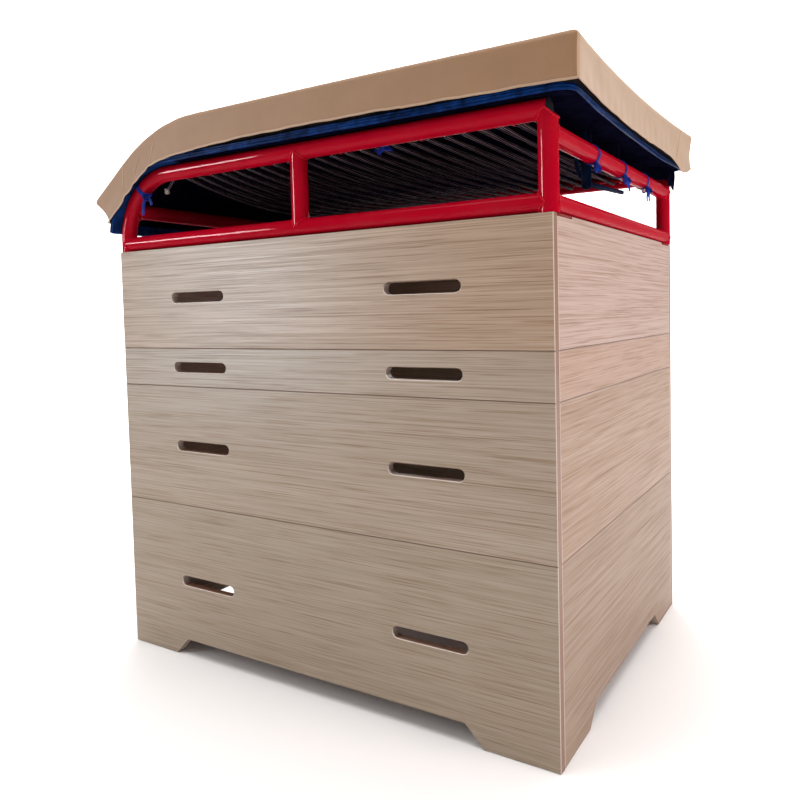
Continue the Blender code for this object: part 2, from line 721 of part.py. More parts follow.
def profile_point(s):
    """Point and downward direction on the pad's outer profile, s metres from the nose edge."""
    if s >= PAD_FLAT_START:
        return PAD_NOSE_START + s - PAD_FLAT_START, PAD_TOP, 0.0, -1.0
    lean = NOSE_WALL_TURN * (1 - s / PAD_FLAT_START)
    if s >= PAD_RAMP:
        angle = PAD_NOSE_SLOPE - (s - PAD_RAMP) / PAD_NOSE_RADIUS
        x = PAD_NOSE_START - PAD_NOSE_RADIUS * math.sin(angle)
        z = PAD_NOSE_Z + PAD_NOSE_RADIUS * math.cos(angle)
    else:
        x = PAD_BEND_END_X - (PAD_RAMP - s) * math.cos(PAD_NOSE_SLOPE)
        z = PAD_BEND_END_Z - (PAD_RAMP - s) * math.sin(PAD_NOSE_SLOPE)
    return x, z, math.sin(lean), -math.cos(lean)


def bow_along(s):
    """How far a place lies into the pad's slow bow: nothing at its ends and one in its middle."""
    return max(1 - (2 * s / PAD_RUN - 1) ** 2, 0.0)


def bow_across(y):
    """How far a place lies in from the pad's sides: nothing at them and one in the middle."""
    return max(1 - (2 * y / PAD_WIDTH) ** 2, 0.0)


def seat_depth(s):
    """Depth of the base mat's upper face under the pad's outer profile."""
    x, z, down_x, down_z = profile_point(s)
    flat = (z - MAT_TOP - FIT_GAP) / -down_z
    if x + down_x * flat >= NOSE_X:
        return flat
    seat = MAT_OUTER_RADIUS + FOAM_SEAT
    away = Vector((x - NOSE_X, z - NOSE_Z))
    along = away.dot(Vector((down_x, down_z)))
    rest = along**2 - away.length_squared + seat**2
    return -along - math.sqrt(max(rest, 0.0))


def band_depth(s):
    """Depth of the cover's side band, which rides up a little along the flat and over the nose."""
    if s >= PAD_FLAT_START:
        share = (s - PAD_FLAT_START) / (PAD_RUN - PAD_FLAT_START)
        return BAND_DEPTH - BAND_LIFT * math.sin(math.pi * share**BAND_LIFT_LEAN)
    share = 1 - s / PAD_FLAT_START
    nose_depth = seat_depth(0.0) - BAND_NOSE_GAP
    rise = BAND_NOSE_RISE * math.sin(math.pi * share) ** 2
    return BAND_DEPTH + (nose_depth - BAND_DEPTH) * share**2 - rise


def pad_stations(inset, nose_stations):
    """Places along the profile: close together round the nose, wider apart on the flat."""
    rear = PAD_RUN - inset
    nose = [inset + (PAD_FLAT_START - inset) * i / nose_stations for i in range(nose_stations)]
    step = (rear - PAD_FLAT_START) / PAD_FLAT_STATIONS
    return nose + [PAD_FLAT_START + step * i for i in range(PAD_FLAT_STATIONS + 1)]


def pad_place(s, y, depth):
    """A point of the pad, from its place along, its place across and its depth under the top."""
    x, z, down_x, down_z = profile_point(s)
    return Vector((x + down_x * depth, y, z + down_z * depth))


def make_cover():
    """The pad's sewn cover: a crowned top whose side bands hang down and draw in."""
    half = PAD_WIDTH / 2
    round_share = 0.3
    body = bmesh.new()
    stations = pad_stations(PAD_EDGE_RADIUS, PAD_NOSE_STATIONS)
    rows = len(stations)
    bmesh.ops.create_grid(body, x_segments=rows - 1, y_segments=PAD_ROWS - 1, size=1.0)
    places = {}
    for vertex in body.verts:
        i = round((vertex.co.x + 1) / 2 * (rows - 1))
        j = round((vertex.co.y + 1) / 2 * (PAD_ROWS - 1))
        s = stations[i]
        y = (half - PAD_EDGE_RADIUS) * (2 * j / (PAD_ROWS - 1) - 1)
        vertex.co = pad_place(s, y, -bow_along(s) * (PAD_ARCH + PAD_CROWN * bow_across(y)))
        ends = (i == rows - 1) - (i == 0)
        sides = (j == PAD_ROWS - 1) - (j == 0)
        places[vertex] = (s, y, ends, sides)
    rings = (
        (round_share * PAD_EDGE_RADIUS, lambda arch, band: round_share * PAD_EDGE_RADIUS - arch),
        (0.0, lambda arch, band: PAD_EDGE_RADIUS - arch),
        (BAND_DRAW_IN, lambda arch, band: BAND_WAIST * band),
        (BAND_DRAW_IN / 3, lambda arch, band: band),
    )
    edges = [edge for edge in body.edges if edge.is_boundary]
    for inset, depth_of in rings:
        made = bmesh.ops.extrude_edge_only(body, edges=edges)
        edges = [item for item in made["geom"] if isinstance(item, bmesh.types.BMEdge)]
        fresh = [item for item in made["geom"] if isinstance(item, bmesh.types.BMVert)]
        body.verts.index_update()
        old = {}
        for vertex in fresh:
            for edge in vertex.link_edges:
                other = edge.other_vert(vertex)
                if other in places:
                    old[vertex] = places[other]
        for vertex in fresh:
            s, y, ends, sides = old[vertex]
            new_s = s
            if ends > 0:
                new_s = PAD_RUN - inset
            if ends < 0:
                new_s = inset
            new_y = sides * (half - inset) if sides else y
            band = band_depth(new_s)
            if ends > 0:
                band += BAND_REAR_DROP * bow_across(new_y)
            vertex.co = pad_place(new_s, new_y, depth_of(PAD_ARCH * bow_along(new_s), band))
            places[vertex] = (new_s, new_y, ends, sides)
        edges = [edge for edge in edges if edge.verts[0] in old and edge.verts[1] in old]
    bmesh.ops.recalc_face_normals(body, faces=body.faces)
    top_face = max(body.faces, key=lambda face: face.calc_center_median().z)
    if top_face.normal.z < 0:
        bmesh.ops.reverse_faces(body, faces=body.faces)
    mesh = bpy.data.meshes.new("pad_cover")
    body.to_mesh(mesh)
    body.free()
    cover = add_part("pad_cover", mesh, TAN_COVER)
    wall = cover.modifiers.new("wall", "SOLIDIFY")
    wall.thickness = COVER_THICKNESS
    wall.offset = -1.0
    wall.use_even_offset = True


def make_foam():
    """The foam block inside the cover, resting on the base mat and hollowed to the nose bend."""
    skin = BAND_DRAW_IN + COVER_THICKNESS + FIT_GAP
    top_depth = COVER_THICKNESS + FOAM_TOP_ROOM
    stations = pad_stations(skin, 2 * PAD_NOSE_STATIONS)
    upper = [pad_place(s, 0.0, top_depth) for s in stations]
    lower = [pad_place(s, 0.0, seat_depth(s)) for s in stations]
    outline = [(point.x, point.z) for point in reversed(upper)] + [(point.x, point.z) for point in lower]
    mesh = outline_mesh("foam_core", outline, [], PAD_WIDTH - 2 * skin, 0.0)
    mesh.transform(ALONG_X)
    add_part("foam_core", mesh, PALE_FOAM)


def tie_mesh(leg):
    """A tie drawn in local XY: a sling under a tube, its legs up to the mat and two loose tails."""
    inner = (TUBE_RADIUS + FIT_GAP) / math.cos(math.pi / TIE_ARC_STEPS / 2)
    outer = inner + TIE_THICKNESS
    outside = arc((0.0, 0.0), outer, math.pi, 2 * math.pi, TIE_ARC_STEPS)
    grown = []
    for number, point in enumerate(outside):
        grown.append(point)
        if number in (TIE_ARC_STEPS // 2, TIE_ARC_STEPS // 2 + 2):
            lean = 0.25 if number > TIE_ARC_STEPS // 2 else -0.1
            tip = (point[0] + lean * TIE_TAIL_LENGTH, point[1] - TIE_TAIL_LENGTH)
            grown.append(tip)
            grown.append((tip[0] + TIE_TAIL_WIDTH, tip[1] + TIE_TAIL_WIDTH / 4))
            grown.append((point[0] + TIE_TAIL_WIDTH, -math.sqrt(outer**2 - (point[0] + TIE_TAIL_WIDTH) ** 2)))
    inside = arc((0.0, 0.0), inner, 2 * math.pi, math.pi, TIE_ARC_STEPS)
    outline = [(-outer, leg)] + grown + [(outer, leg), (inner, leg)] + inside + [(-inner, leg)]
    return outline_mesh("tie", outline, [], TIE_WIDTH, 0.0)


def tie_places():
    """Three ties on the rear cross tube, one on the right top rail and one on its nose bend."""
    sewn = MAT_THICKNESS / 3
    long_leg = MAT_BOTTOM + sewn - CROSS_TUBE_Z
    short_leg = MAT_BOTTOM + sewn - TOP_RAIL_Z
    found = []
    for number in (-1, 0, 1):
        y = REAR_TIE_MIDDLE_Y + number * REAR_TIE_PITCH
        found.append((Matrix.Translation((REAR_X, y, CROSS_TUBE_Z)) @ ALONG_X, long_leg))
    found.append((Matrix.Translation((RAIL_TIE_X, -RAIL_Y, TOP_RAIL_Z)) @ ALONG_Y, short_leg))
    step = math.pi / 2 / NOSE_BEND_STEPS
    lean = Matrix.Rotation(-NOSE_TIE_STEP * step, 4, "Y")
    reach = Matrix.Translation((0.0, 0.0, NOSE_BEND_RADIUS * math.cos(step / 2)))
    bend = Matrix.Translation((NOSE_X, -RAIL_Y, NOSE_Z)) @ lean @ reach
    found.append((bend @ ALONG_Y, short_leg))
    return found


def make_mat():
    """The blue base mat: flat over the bed, wrapped round the nose, with one loose corner."""
    half = HALF_WIDTH + MAT_SIDE_OVERHANG
    rear = REAR_X + TUBE_RADIUS + MAT_REAR_OVERHANG
    start = math.pi / 2
    end = math.pi / 2 + MAT_WRAP
    outer = arc((NOSE_X, NOSE_Z), MAT_OUTER_RADIUS, start, end, MAT_BEND_STEPS)
    hollow = MAT_INNER_RADIUS / math.cos(MAT_WRAP / MAT_BEND_STEPS / 2)
    inner = arc((NOSE_X, NOSE_Z), hollow, end, start, MAT_BEND_STEPS)
    outline = [(rear, MAT_BOTTOM), (rear, MAT_TOP)] + outer + inner
    mesh = outline_mesh("base_mat", outline, [], 2 * half, 0.0)
    mesh.transform(ALONG_X)
    body = bmesh.new()
    body.from_mesh(mesh)
    corners = []
    for edge in body.edges:
        a, b = (vertex.co for vertex in edge.verts)
        if min(a.x, b.x) > rear - FIT_GAP and abs(a.y - b.y) < FIT_GAP:
            corners.append(edge)
    bmesh.ops.bevel(body, geom=corners, offset=MAT_CORNER_RADIUS, segments=4, profile=0.5, affect="EDGES")
    body.to_mesh(mesh)
    body.free()
    mat = add_part("base_mat", mesh, BLUE_SHEET)
    flap_x = REAR_X + TUBE_RADIUS + FLAP_STANDOFF
    flap_y = half - MAT_CORNER_RADIUS / 5
    low = (flap_x, flap_y - FLAP_WIDTH, MAT_BOTTOM - FLAP_DROP)
    flap = box_mesh("mat_flap", low, (flap_x + FLAP_THICKNESS, flap_y, MAT_BOTTOM + MAT_THICKNESS / 2))
    body = bmesh.new()
    body.from_mesh(flap)
    for place, leg in tie_places():
        tie = tie_mesh(leg)
        tie.transform(place)
        body.from_mesh(tie)
    sewn = bpy.data.meshes.new("mat_trim")
    body.to_mesh(sewn)
    body.free()
    join(mat, add_cutter("mat_trim", sewn))


bolt_holes = make_feet()
for section, (section_low, section_high) in section_spans().items():
    make_section(section, section_low, section_high, bolt_holes)
make_frame()
make_plugs()
make_lacing_rods()
make_cord()
make_mat()
make_foam()
make_cover()
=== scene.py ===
"""Vault trainer: a plywood vault box under a red tube frame, a corded bed and a tan padded top."""

import math

import bpy
import numpy as np
from mathutils import Matrix, Vector


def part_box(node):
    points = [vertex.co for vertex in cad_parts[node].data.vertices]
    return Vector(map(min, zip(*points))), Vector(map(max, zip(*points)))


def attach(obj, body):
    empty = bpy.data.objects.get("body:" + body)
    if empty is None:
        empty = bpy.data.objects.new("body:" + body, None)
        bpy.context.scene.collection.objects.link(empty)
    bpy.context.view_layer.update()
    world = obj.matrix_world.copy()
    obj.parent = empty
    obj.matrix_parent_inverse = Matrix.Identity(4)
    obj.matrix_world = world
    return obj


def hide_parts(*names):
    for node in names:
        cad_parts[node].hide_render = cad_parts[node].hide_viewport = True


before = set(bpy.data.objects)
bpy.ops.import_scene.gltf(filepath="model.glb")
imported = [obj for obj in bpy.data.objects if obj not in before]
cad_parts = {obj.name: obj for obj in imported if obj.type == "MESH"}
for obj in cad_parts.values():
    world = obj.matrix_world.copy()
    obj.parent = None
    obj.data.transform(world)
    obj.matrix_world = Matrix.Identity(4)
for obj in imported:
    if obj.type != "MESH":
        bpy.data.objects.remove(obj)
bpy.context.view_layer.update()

# Camera: it stands off the near rear corner at the height of the hand slots of the top section, and looks
# slightly down. The shift is the photograph's own, whose middle isn't the middle of the lens.
view_right = Vector((0.85916, 0.51128, -0.02304))
view_up = Vector((-0.00554, 0.05432, 0.99858))
view_back = Vector((0.5118, -0.8577, 0.0495))
stand = Vector((1.0813, -1.6909, 0.8614))
lens = bpy.data.cameras.new("photo_camera")
lens.sensor_width = 36.0
lens.lens = 32.93
lens.shift_x = -0.03907
lens.shift_y = -0.06508
camera = bpy.data.objects.new("photo_camera", lens)
turned = Matrix((view_right, view_up, view_back)).transposed().to_4x4()
camera.matrix_world = Matrix.Translation(stand) @ turned
bpy.context.scene.collection.objects.link(camera)
bpy.context.scene.camera = camera

# Light: a dim pale room under one wide soft ceiling light. A soft light on the end wall, a weak front one
# and the backdrop's own draw no reflections. Two small lamps draw the thin highlights along the tubes. The
# near one skips the plywood, whose lacquer has a sheen lamp of its own and pales towards the nose.
bpy.context.scene.view_settings.view_transform = "Standard"
room = bpy.data.worlds.new("pale_room")
bpy.context.scene.world = room
room.use_nodes = True
room.node_tree.nodes["Background"].inputs["Color"].default_value = (1.0, 1.0, 1.0, 1.0)
room.node_tree.nodes["Background"].inputs["Strength"].default_value = 0.26
for light_name, place, aim, width, height, power, tint, lights, shines in (
    ("window_light", (3.4, -0.4, 2.3), (0.6, 0.0, 0.9), 2.0, 2.0, 62.0, (1.0, 0.86, 0.83), True, False),
    ("front_light", (-2.8, -3.6, 3.0), (-0.3, 0.0, 1.0), 3.0, 3.0, 60.0, (1.0, 0.97, 0.95), True, False),
    ("near_lamp", (-3.15, -2.95, 1.75), (0.0, -0.4, 1.1), 1.1, 1.0, 160.0, (1.0, 1.0, 1.0), False, True),
    ("far_lamp", (1.7, 6.0, 4.0), (0.5, 0.0, 1.1), 1.6, 0.8, 130.0, (1.0, 1.0, 1.0), False, True),
    ("ceiling_light", (0.0, 0.0, 5.2), (0.0, 0.0, 0.0), 6.0, 6.0, 330.0, (1.0, 0.99, 0.98), True, True),
    ("backdrop_light", (-2.2, 3.4, 5.6), (-5.2, 8.4, 1.0), 6.0, 6.0, 1500.0, (1.0, 1.0, 1.0), True, False),
    ("sheen_lamp", (-3.25, -3.6, 1.15), (-0.2, -0.45, 0.7), 1.0, 1.7, 90.0, (0.76, 1.0, 1.14), False, True),
):
    glow = bpy.data.lights.new(light_name, "AREA")
    glow.shape = "ELLIPSE"
    glow.size = width
    glow.size_y = height
    glow.energy = power
    glow.color = tint
    lamp = bpy.data.objects.new(light_name, glow)
    lamp.location = place
    lamp.visible_diffuse = lights
    lamp.visible_glossy = shines
    lamp.rotation_euler = (Vector(aim) - Vector(place)).to_track_quat("-Z", "Y").to_euler()
    bpy.context.scene.collection.objects.link(lamp)
lacquered = bpy.data.collections.new("lacquered_panels")
bpy.data.objects["sheen_lamp"].light_linking.receiver_collection = lacquered
all_but_panels = bpy.data.collections.new("all_but_panels")
bpy.data.objects["near_lamp"].light_linking.receiver_collection = all_but_panels


# Floor: a plain pale studio floor that runs up behind the object in one sweep. It isn't part of the object.
def grid_quads(rows, columns, join_rows=False, join_columns=False):
    """Quads between neighbouring points of a grid, and the grid steps of their corners.

    A joined direction has one more step, which leads from the last point back to the first.
    """
    down, right = np.arange(rows - 1 + join_rows), np.arange(columns - 1 + join_columns)
    row, column = np.meshgrid(down, right, indexing="ij")
    corners = [np.stack([row + i, column + j], -1) for i, j in ((0, 0), (1, 0), (1, 1), (0, 1))]
    steps = np.stack(corners, -2).reshape(-1, 4, 2)
    return (steps[..., 0] % rows) * columns + steps[..., 1] % columns, steps


def make_piece(name, surface, sharp, *finishes):
    """A mesh object at the origin from points, faces and UV, shaded smooth where it turns less than sharp."""
    points, faces, uv = surface
    mesh = bpy.data.meshes.new(name)
    mesh.from_pydata(np.asarray(points).reshape(-1, 3).tolist(), [], [list(map(int, face)) for face in faces])
    if uv is not None:
        layer = mesh.uv_layers.new(name="surface")
        layer.data.foreach_set("uv", np.asarray(uv, dtype=np.float32).ravel())
    mesh.shade_smooth()
    mesh.set_sharp_from_angle(angle=math.radians(sharp))
    for finish in finishes:
        mesh.materials.append(finish)
    piece = bpy.data.objects.new(name, mesh)
    bpy.context.scene.collection.objects.link(piece)
    return piece


def new_finish(name, constants):
    """A material and its node tree, with constant values set on its Principled shader's own sockets."""
    finish = bpy.data.materials.new(name)
    finish.use_nodes = True
    for socket, value in constants.items():
        finish.node_tree.nodes["Principled BSDF"].inputs[socket].default_value = value
    return finish, finish.node_tree


SWEEP_START, SWEEP_RADIUS, WALL_HEIGHT = 5.0, 3.5, 11.0
AWAY_X, AWAY_Y = -0.5125, 0.8587
arc = np.linspace(0.05, np.pi / 2, 20)
sweep = SWEEP_START + SWEEP_RADIUS * np.sin(arc)
reach = np.concatenate([np.linspace(-10.0, SWEEP_START, 30), sweep, [SWEEP_START + SWEEP_RADIUS]])
rise = np.concatenate([np.zeros(30), SWEEP_RADIUS - SWEEP_RADIUS * np.cos(arc), [WALL_HEIGHT]])
reach, sideways = np.meshgrid(reach, np.linspace(-16.0, 16.0, 33), indexing="ij")
floor_x = AWAY_X * reach + AWAY_Y * sideways
floor_y = AWAY_Y * reach - AWAY_X * sideways
floor_z = np.broadcast_to(rise[:, None] - 0.0005, reach.shape)
floor_finish, tree = new_finish("studio_floor", {"Roughness": 0.9, "Base Color": (0.92, 0.92, 0.92, 1.0)})
quads = grid_quads(*reach.shape)[0][:, ::-1]
surface = np.stack([floor_x, floor_y, floor_z], -1), quads, None
floor = make_piece("studio_floor", surface, 35.0, floor_finish)


# Plywood panels: 20 mm birch-cored ply with a straight-grained, pinkish oak-like face under satin lacquer,
# duller on the end boards. The grain lies lengthwise, and the sawn edges and hand slots show the plies.
def wire(tree, kind, inputs=None, **settings):
    """Adds a node, and sets each input or links it to a socket."""
    node = tree.nodes.new(kind)
    for key, value in settings.items():
        setattr(node, key, value)
    for key, value in (inputs or {}).items():
        if isinstance(value, bpy.types.NodeSocket):
            tree.links.new(value, node.inputs[key])
        else:
            node.inputs[key].default_value = value
    return node


def object_place(tree):
    """The place of a point on its object, in metres."""
    return wire(tree, "ShaderNodeTexCoord").outputs["Object"]


def maths(tree, operation, *values):
    """The result of one Math node."""
    return wire(tree, "ShaderNodeMath", dict(enumerate(values)), operation=operation).outputs[0]


def ramp(tree, value, low=0.0, high=1.0, to_low=0.0, to_high=1.0):
    """A value carried from one range to another and held inside it."""
    inputs = {"Value": value, "From Min": low, "From Max": high, "To Min": to_low, "To Max": to_high}
    return wire(tree, "ShaderNodeMapRange", inputs).outputs["Result"]


def noise(tree, place, scale, detail, rough=0.5, warp=0.0):
    """The height of a fractal noise at a place, whose fine part is rough and whose shape may be warped."""
    inputs = {"Vector": place, "Scale": scale, "Detail": detail, "Roughness": rough, "Distortion": warp}
    return wire(tree, "ShaderNodeTexNoise", inputs).outputs["Fac"]


def relief(tree, strength, distance, height, under=None):
    """The normal of a bumped surface, which may lie over another bump."""
    inputs = {"Strength": strength, "Distance": distance, "Height": height}
    if under is not None:
        inputs["Normal"] = under
    return wire(tree, "ShaderNodeBump", inputs).outputs["Normal"]


def mix_colour(tree, share, first, second, blend="MIX"):
    """Mixes two colours by a share; each may be three numbers or a socket."""
    first, second = ((*colour, 1.0) if isinstance(colour, tuple) else colour for colour in (first, second))
    inputs = {0: share, 6: first, 7: second}
    return wire(tree, "ShaderNodeMix", inputs, data_type="RGBA", blend_type=blend).outputs[2]


def dress(finish, colour, roughness=None, normal=None):
    """Links a colour to a material's shader, and a roughness and a normal where they are given."""
    shader = finish.node_tree.nodes["Principled BSDF"]
    for socket, value in (("Base Color", colour), ("Roughness", roughness), ("Normal", normal)):
        if value is not None:
            finish.node_tree.links.new(value, shader.inputs[socket])


def new_group(name, takes, gives):
    """An empty node group, the sockets that come in and those that go out."""
    group = bpy.data.node_groups.new(name, "ShaderNodeTree")
    for label in takes:
        kind = "NodeSocketVector" if label == "Vector" else "NodeSocketFloat"
        group.interface.new_socket(label, in_out="INPUT", socket_type=kind)
    for label in gives:
        group.interface.new_socket(label, in_out="OUTPUT", socket_type="NodeSocketFloat")
    return group, group.nodes.new("NodeGroupInput").outputs, group.nodes.new("NodeGroupOutput").inputs


def veneer_group():
    """Grain of a sliced veneer: long wavering streaks, short open pores and broad bands of tone.

    The vector runs along the grain in X, through the board in Y and across the grain in Z, in metres.
    """
    wander = 0.007
    group, entry, leave = new_group("veneer_grain", ("Vector",), ("Streaks", "Pores", "Tone"))

    def stretched(scale, source):
        return wire(group, "ShaderNodeVectorMath", {0: source, 1: scale}, operation="MULTIPLY").outputs[0]

    waver = noise(group, stretched((0.8, 1.7, 3.0), entry["Vector"]), 1.0, 1.0)
    shift = wire(group, "ShaderNodeCombineXYZ", {"Z": maths(group, "MULTIPLY", waver, wander)}).outputs[0]
    bent = wire(group, "ShaderNodeVectorMath", {0: entry["Vector"], 1: shift}, operation="ADD").outputs[0]
    for label, scale, low, high in (
        ("Streaks", (2.6, 3.0, 340.0), 0.32, 0.66),
        ("Pores", (5.0, 9.0, 380.0), 0.52, 0.64),
        ("Tone", (0.6, 2.0, 7.0), 0.30, 0.70),
    ):
        mask = ramp(group, noise(group, stretched(scale, bent), 1.0, 2.0, 0.6), low, high)
        group.links.new(mask, leave[label])
    return group


veneer = veneer_group()
PALE_WOOD = np.array([0.500, 0.415, 0.362])
ROSY_WOOD = np.array([0.474, 0.382, 0.328])
PLY_THICK = 0.00154
SLOTS_WITHIN = 0.585
LIP_DEPTH = 0.004


def plywood_finish(name, end_board, shift, tone, figure, top):
    """Veneer on the faces, plies on the edges and a pale sanded arris between them, dark in the seams.

    The arris is painted lighter where it faces up, a painted highlight, and painted dark where it faces down
    and along the board's top lip under the next board, painted shade in the seams. The ends of the hand slots
    are painted paler, painted light. The tone multiplies the veneer's colour, the figure is how dark its
    streaks are, and top is the board's height. A face is where the normal runs through the board, and an edge
    where it doesn't.
    """
    finish, tree = new_finish(name, {"Specular IOR Level": 0.35})
    place = wire(tree, "ShaderNodeTexCoord").outputs
    parts = wire(tree, "ShaderNodeSeparateXYZ", {0: place["Object"]}).outputs
    facing = wire(tree, "ShaderNodeSeparateXYZ", {0: place["Normal"]}).outputs
    along, through = (1, 0) if end_board else (0, 1)
    grain = wire(tree, "ShaderNodeCombineXYZ", {0: parts[along], 1: parts[through], 2: parts[2]}).outputs[0]
    moved = wire(tree, "ShaderNodeVectorMath", {0: grain, 1: shift}, operation="ADD").outputs[0]
    wood = wire(tree, "ShaderNodeGroup", {"Vector": moved}, node_tree=veneer).outputs
    face = mix_colour(tree, wood["Tone"], tuple(PALE_WOOD * tone), tuple(ROSY_WOOD * tone))
    dark = mix_colour(tree, 1.0, face, (0.97 - figure, 0.94 - figure, 0.89 - figure), "MULTIPLY")
    face = mix_colour(tree, wood["Streaks"], dark, face)
    pored = mix_colour(tree, 1.0, face, (0.74, 0.66, 0.57), "MULTIPLY")
    face = mix_colour(tree, wood["Pores"], face, pored)
    layer = maths(tree, "PINGPONG", maths(tree, "MULTIPLY", parts[through], 1.0 / PLY_THICK), 1.0)
    edge = mix_colour(tree, ramp(tree, layer, 0.32, 0.68), (0.40, 0.235, 0.155), (0.17, 0.070, 0.045))
    rough_edge = mix_colour(tree, 1.0, edge, (0.70, 0.66, 0.60), "MULTIPLY")
    edge = mix_colour(tree, noise(tree, place["Object"], 320.0, 3.0, 0.65), rough_edge, edge)
    # Painted light: the ends of the hand slots are painted paler, as if lit from the front.
    is_inner = maths(tree, "LESS_THAN", maths(tree, "ABSOLUTE", parts[along]), SLOTS_WITHIN)
    slot_end_painted_light = maths(tree, "MULTIPLY", maths(tree, "ABSOLUTE", facing[along]), is_inner)
    edge = mix_colour(tree, ramp(tree, slot_end_painted_light, 0.3, 0.8, 0.0, 0.75), edge, (0.46, 0.40, 0.35))
    # Painted light and shade on the arris: paler where it faces up, a painted highlight; dark where it faces
    # down and along the top lip under the next board, painted shade in the seams.
    below_lip = maths(tree, "LESS_THAN", parts[2], top - LIP_DEPTH)
    rim = mix_colour(tree, below_lip, (0.29, 0.205, 0.155), (0.72, 0.64, 0.58))
    arris = mix_colour(tree, ramp(tree, facing[2], 0.20, 0.45), (0.62, 0.53, 0.46), rim)
    arris = mix_colour(tree, ramp(tree, facing[2], -0.25, -0.45), arris, (0.15, 0.090, 0.060))
    flat = maths(tree, "ABSOLUTE", facing[through])
    colour = mix_colour(tree, maths(tree, "GREATER_THAN", flat, 0.86), arris, face)
    colour = mix_colour(tree, maths(tree, "LESS_THAN", flat, 0.35), colour, edge)
    gloss = ramp(tree, wood["Streaks"], 0.0, 1.0, *((0.62, 0.46) if end_board else (0.42, 0.33)))
    dress(finish, colour, gloss, relief(tree, 0.18, 0.0004, wood["Streaks"]))
    return finish


# Each section's boards have their own tones, and these run darker towards the base, most of all on the end
# boards: partly the boards' own colour, partly painted shade that darkens the lower sections.
for number, (section, side_tone, end_tone, figure) in enumerate(
    (
        ("base", (0.765, 0.74, 0.65), (0.775, 0.69, 0.605), 0.17),
        ("third", (0.85, 0.815, 0.735), (0.85, 0.735, 0.64), 0.20),
        ("second", (0.87, 0.835, 0.765), (0.965, 0.825, 0.765), 0.20),
        ("top", (0.945, 0.822, 0.685), (1.03, 0.93, 0.935), 0.25),
    )
):
    for label, end_board, tone, strength, lift in (
        ("right_panel", False, side_tone, figure, 0.0),
        ("left_panel", False, side_tone, figure, 0.0),
        ("nose_panel", True, end_tone, 0.6 * figure, 0.4),
        ("rear_panel", True, end_tone, 0.6 * figure, 0.4),
    ):
        name = f"{section}_{label}"
        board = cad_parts[name]
        shift = (1.37 * number + 0.31 * len(label), 0.53 * number, 0.217 * number + lift)
        top = max(corner[2] for corner in board.bound_box)
        lacquered.objects.link(board)
        all_but_panels.objects.link(board)
        all_but_panels.collection_objects[-1].light_linking.link_state = "EXCLUDE"
        board.data.materials.clear()
        board.data.materials.append(plywood_finish(name + "_veneer", end_board, shift, tone, strength, top))

# Corner blocks: sawn softwood battens inside the corners, whose tapered ends drop into the section below.
# They are bare wood with the grain upright and coarse saw marks.
CORNERS = ("nose_right", "nose_left", "rear_right", "rear_left")
batten_wood, tree = new_finish("sawn_batten", {"Roughness": 0.75})
place = object_place(tree)
parts = wire(tree, "ShaderNodeSeparateXYZ", {0: place}).outputs
upright = wire(tree, "ShaderNodeCombineXYZ", {0: parts[2], 1: parts[0], 2: parts[1]}).outputs[0]
wood = wire(tree, "ShaderNodeGroup", {"Vector": upright}, node_tree=veneer).outputs
colour = mix_colour(tree, wood["Tone"], (0.56, 0.40, 0.24), (0.44, 0.29, 0.16))
colour = mix_colour(tree, wood["Streaks"], (0.33, 0.20, 0.10), colour)
dress(batten_wood, colour, None, relief(tree, 0.3, 0.0005, noise(tree, place, 900.0, 2.0)))
for section in ("base", "third", "second", "top"):
    for corner in CORNERS:
        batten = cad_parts[f"{section}_{corner}_block"]
        batten.data.materials.clear()
        batten.data.materials.append(batten_wood)


# Red frame: 38 mm steel tube, bent at the nose, coped, welded and powder coated in a glossy red. The coat
# has a faint orange peel and a little dust. Over the welds its peel is coarser and it is painted lighter, a
# painted highlight that offsets the shade round each bead.
def grime_group():
    """Dust and handling marks: a soft mask broken up by two sizes of noise."""
    group, entry, leave = new_group("handling_marks", ("Vector", "Patch Size", "Amount"), ("Mask", "Fine"))
    broad = noise(group, entry["Vector"], entry["Patch Size"], 3.0)
    fine = noise(group, entry["Vector"], 620.0, 2.0)
    patchy = ramp(group, maths(group, "MULTIPLY", broad, fine), 0.20, 0.42)
    group.links.new(maths(group, "MULTIPLY", patchy, entry["Amount"]), leave["Mask"])
    group.links.new(fine, leave["Fine"])
    return group


grime = grime_group()


def coated_metal(name, deep, bright, dust, roughness, peel):
    """A glossy coat on steel: two close tones, dust in patches and a fine orange peel."""
    constants = {"Specular IOR Level": 0.0, "Coat Weight": 0.14, "Coat Roughness": 0.04}
    finish, tree = new_finish(name, constants)
    place = object_place(tree)
    inputs = {"Vector": place, "Patch Size": 9.0, "Amount": dust}
    marks = wire(tree, "ShaderNodeGroup", inputs, node_tree=grime).outputs
    colour = mix_colour(tree, noise(tree, place, 5.0, 2.0), deep, bright)
    colour = mix_colour(tree, marks["Mask"], colour, (0.42, 0.33, 0.32))
    dull = ramp(tree, marks["Mask"], 0.0, 1.0, roughness, roughness + 0.35)
    dress(finish, colour, dull, relief(tree, peel, 0.0003, noise(tree, place, 240.0, 1.0)))
    return finish


red_coat = coated_metal("red_coat", (0.33, 0.0002, 0.009), (0.45, 0.0004, 0.016), 0.02, 0.30, 0.05)


def carried_circle(path, radius, sides, reference, closed=False, squash=1.0):
    """Rings of a circle carried along a path, each ring square to the path.

    The ring's first axis is square to the path and to the reference direction, its second to both.
    The radius may vary along the path, and squash flattens the circle along the second axis.
    """
    path = np.asarray(path, dtype=float)
    ahead = np.roll(path, -1, axis=0) - np.roll(path, 1, axis=0) if closed else np.gradient(path, axis=0)
    ahead /= np.linalg.norm(ahead, axis=1, keepdims=True)
    across = np.cross(ahead, np.broadcast_to(reference, path.shape))
    across /= np.linalg.norm(across, axis=1, keepdims=True)
    over = np.cross(across, ahead)
    turn = np.linspace(0.0, 2 * np.pi, sides, endpoint=False)[None, :, None]
    radius = np.broadcast_to(np.asarray(radius, dtype=float), (len(path),))[:, None, None]
    ring = np.cos(turn) * across[:, None, :] + squash * np.sin(turn) * over[:, None, :]
    return path[:, None, :] + radius * ring, ahead


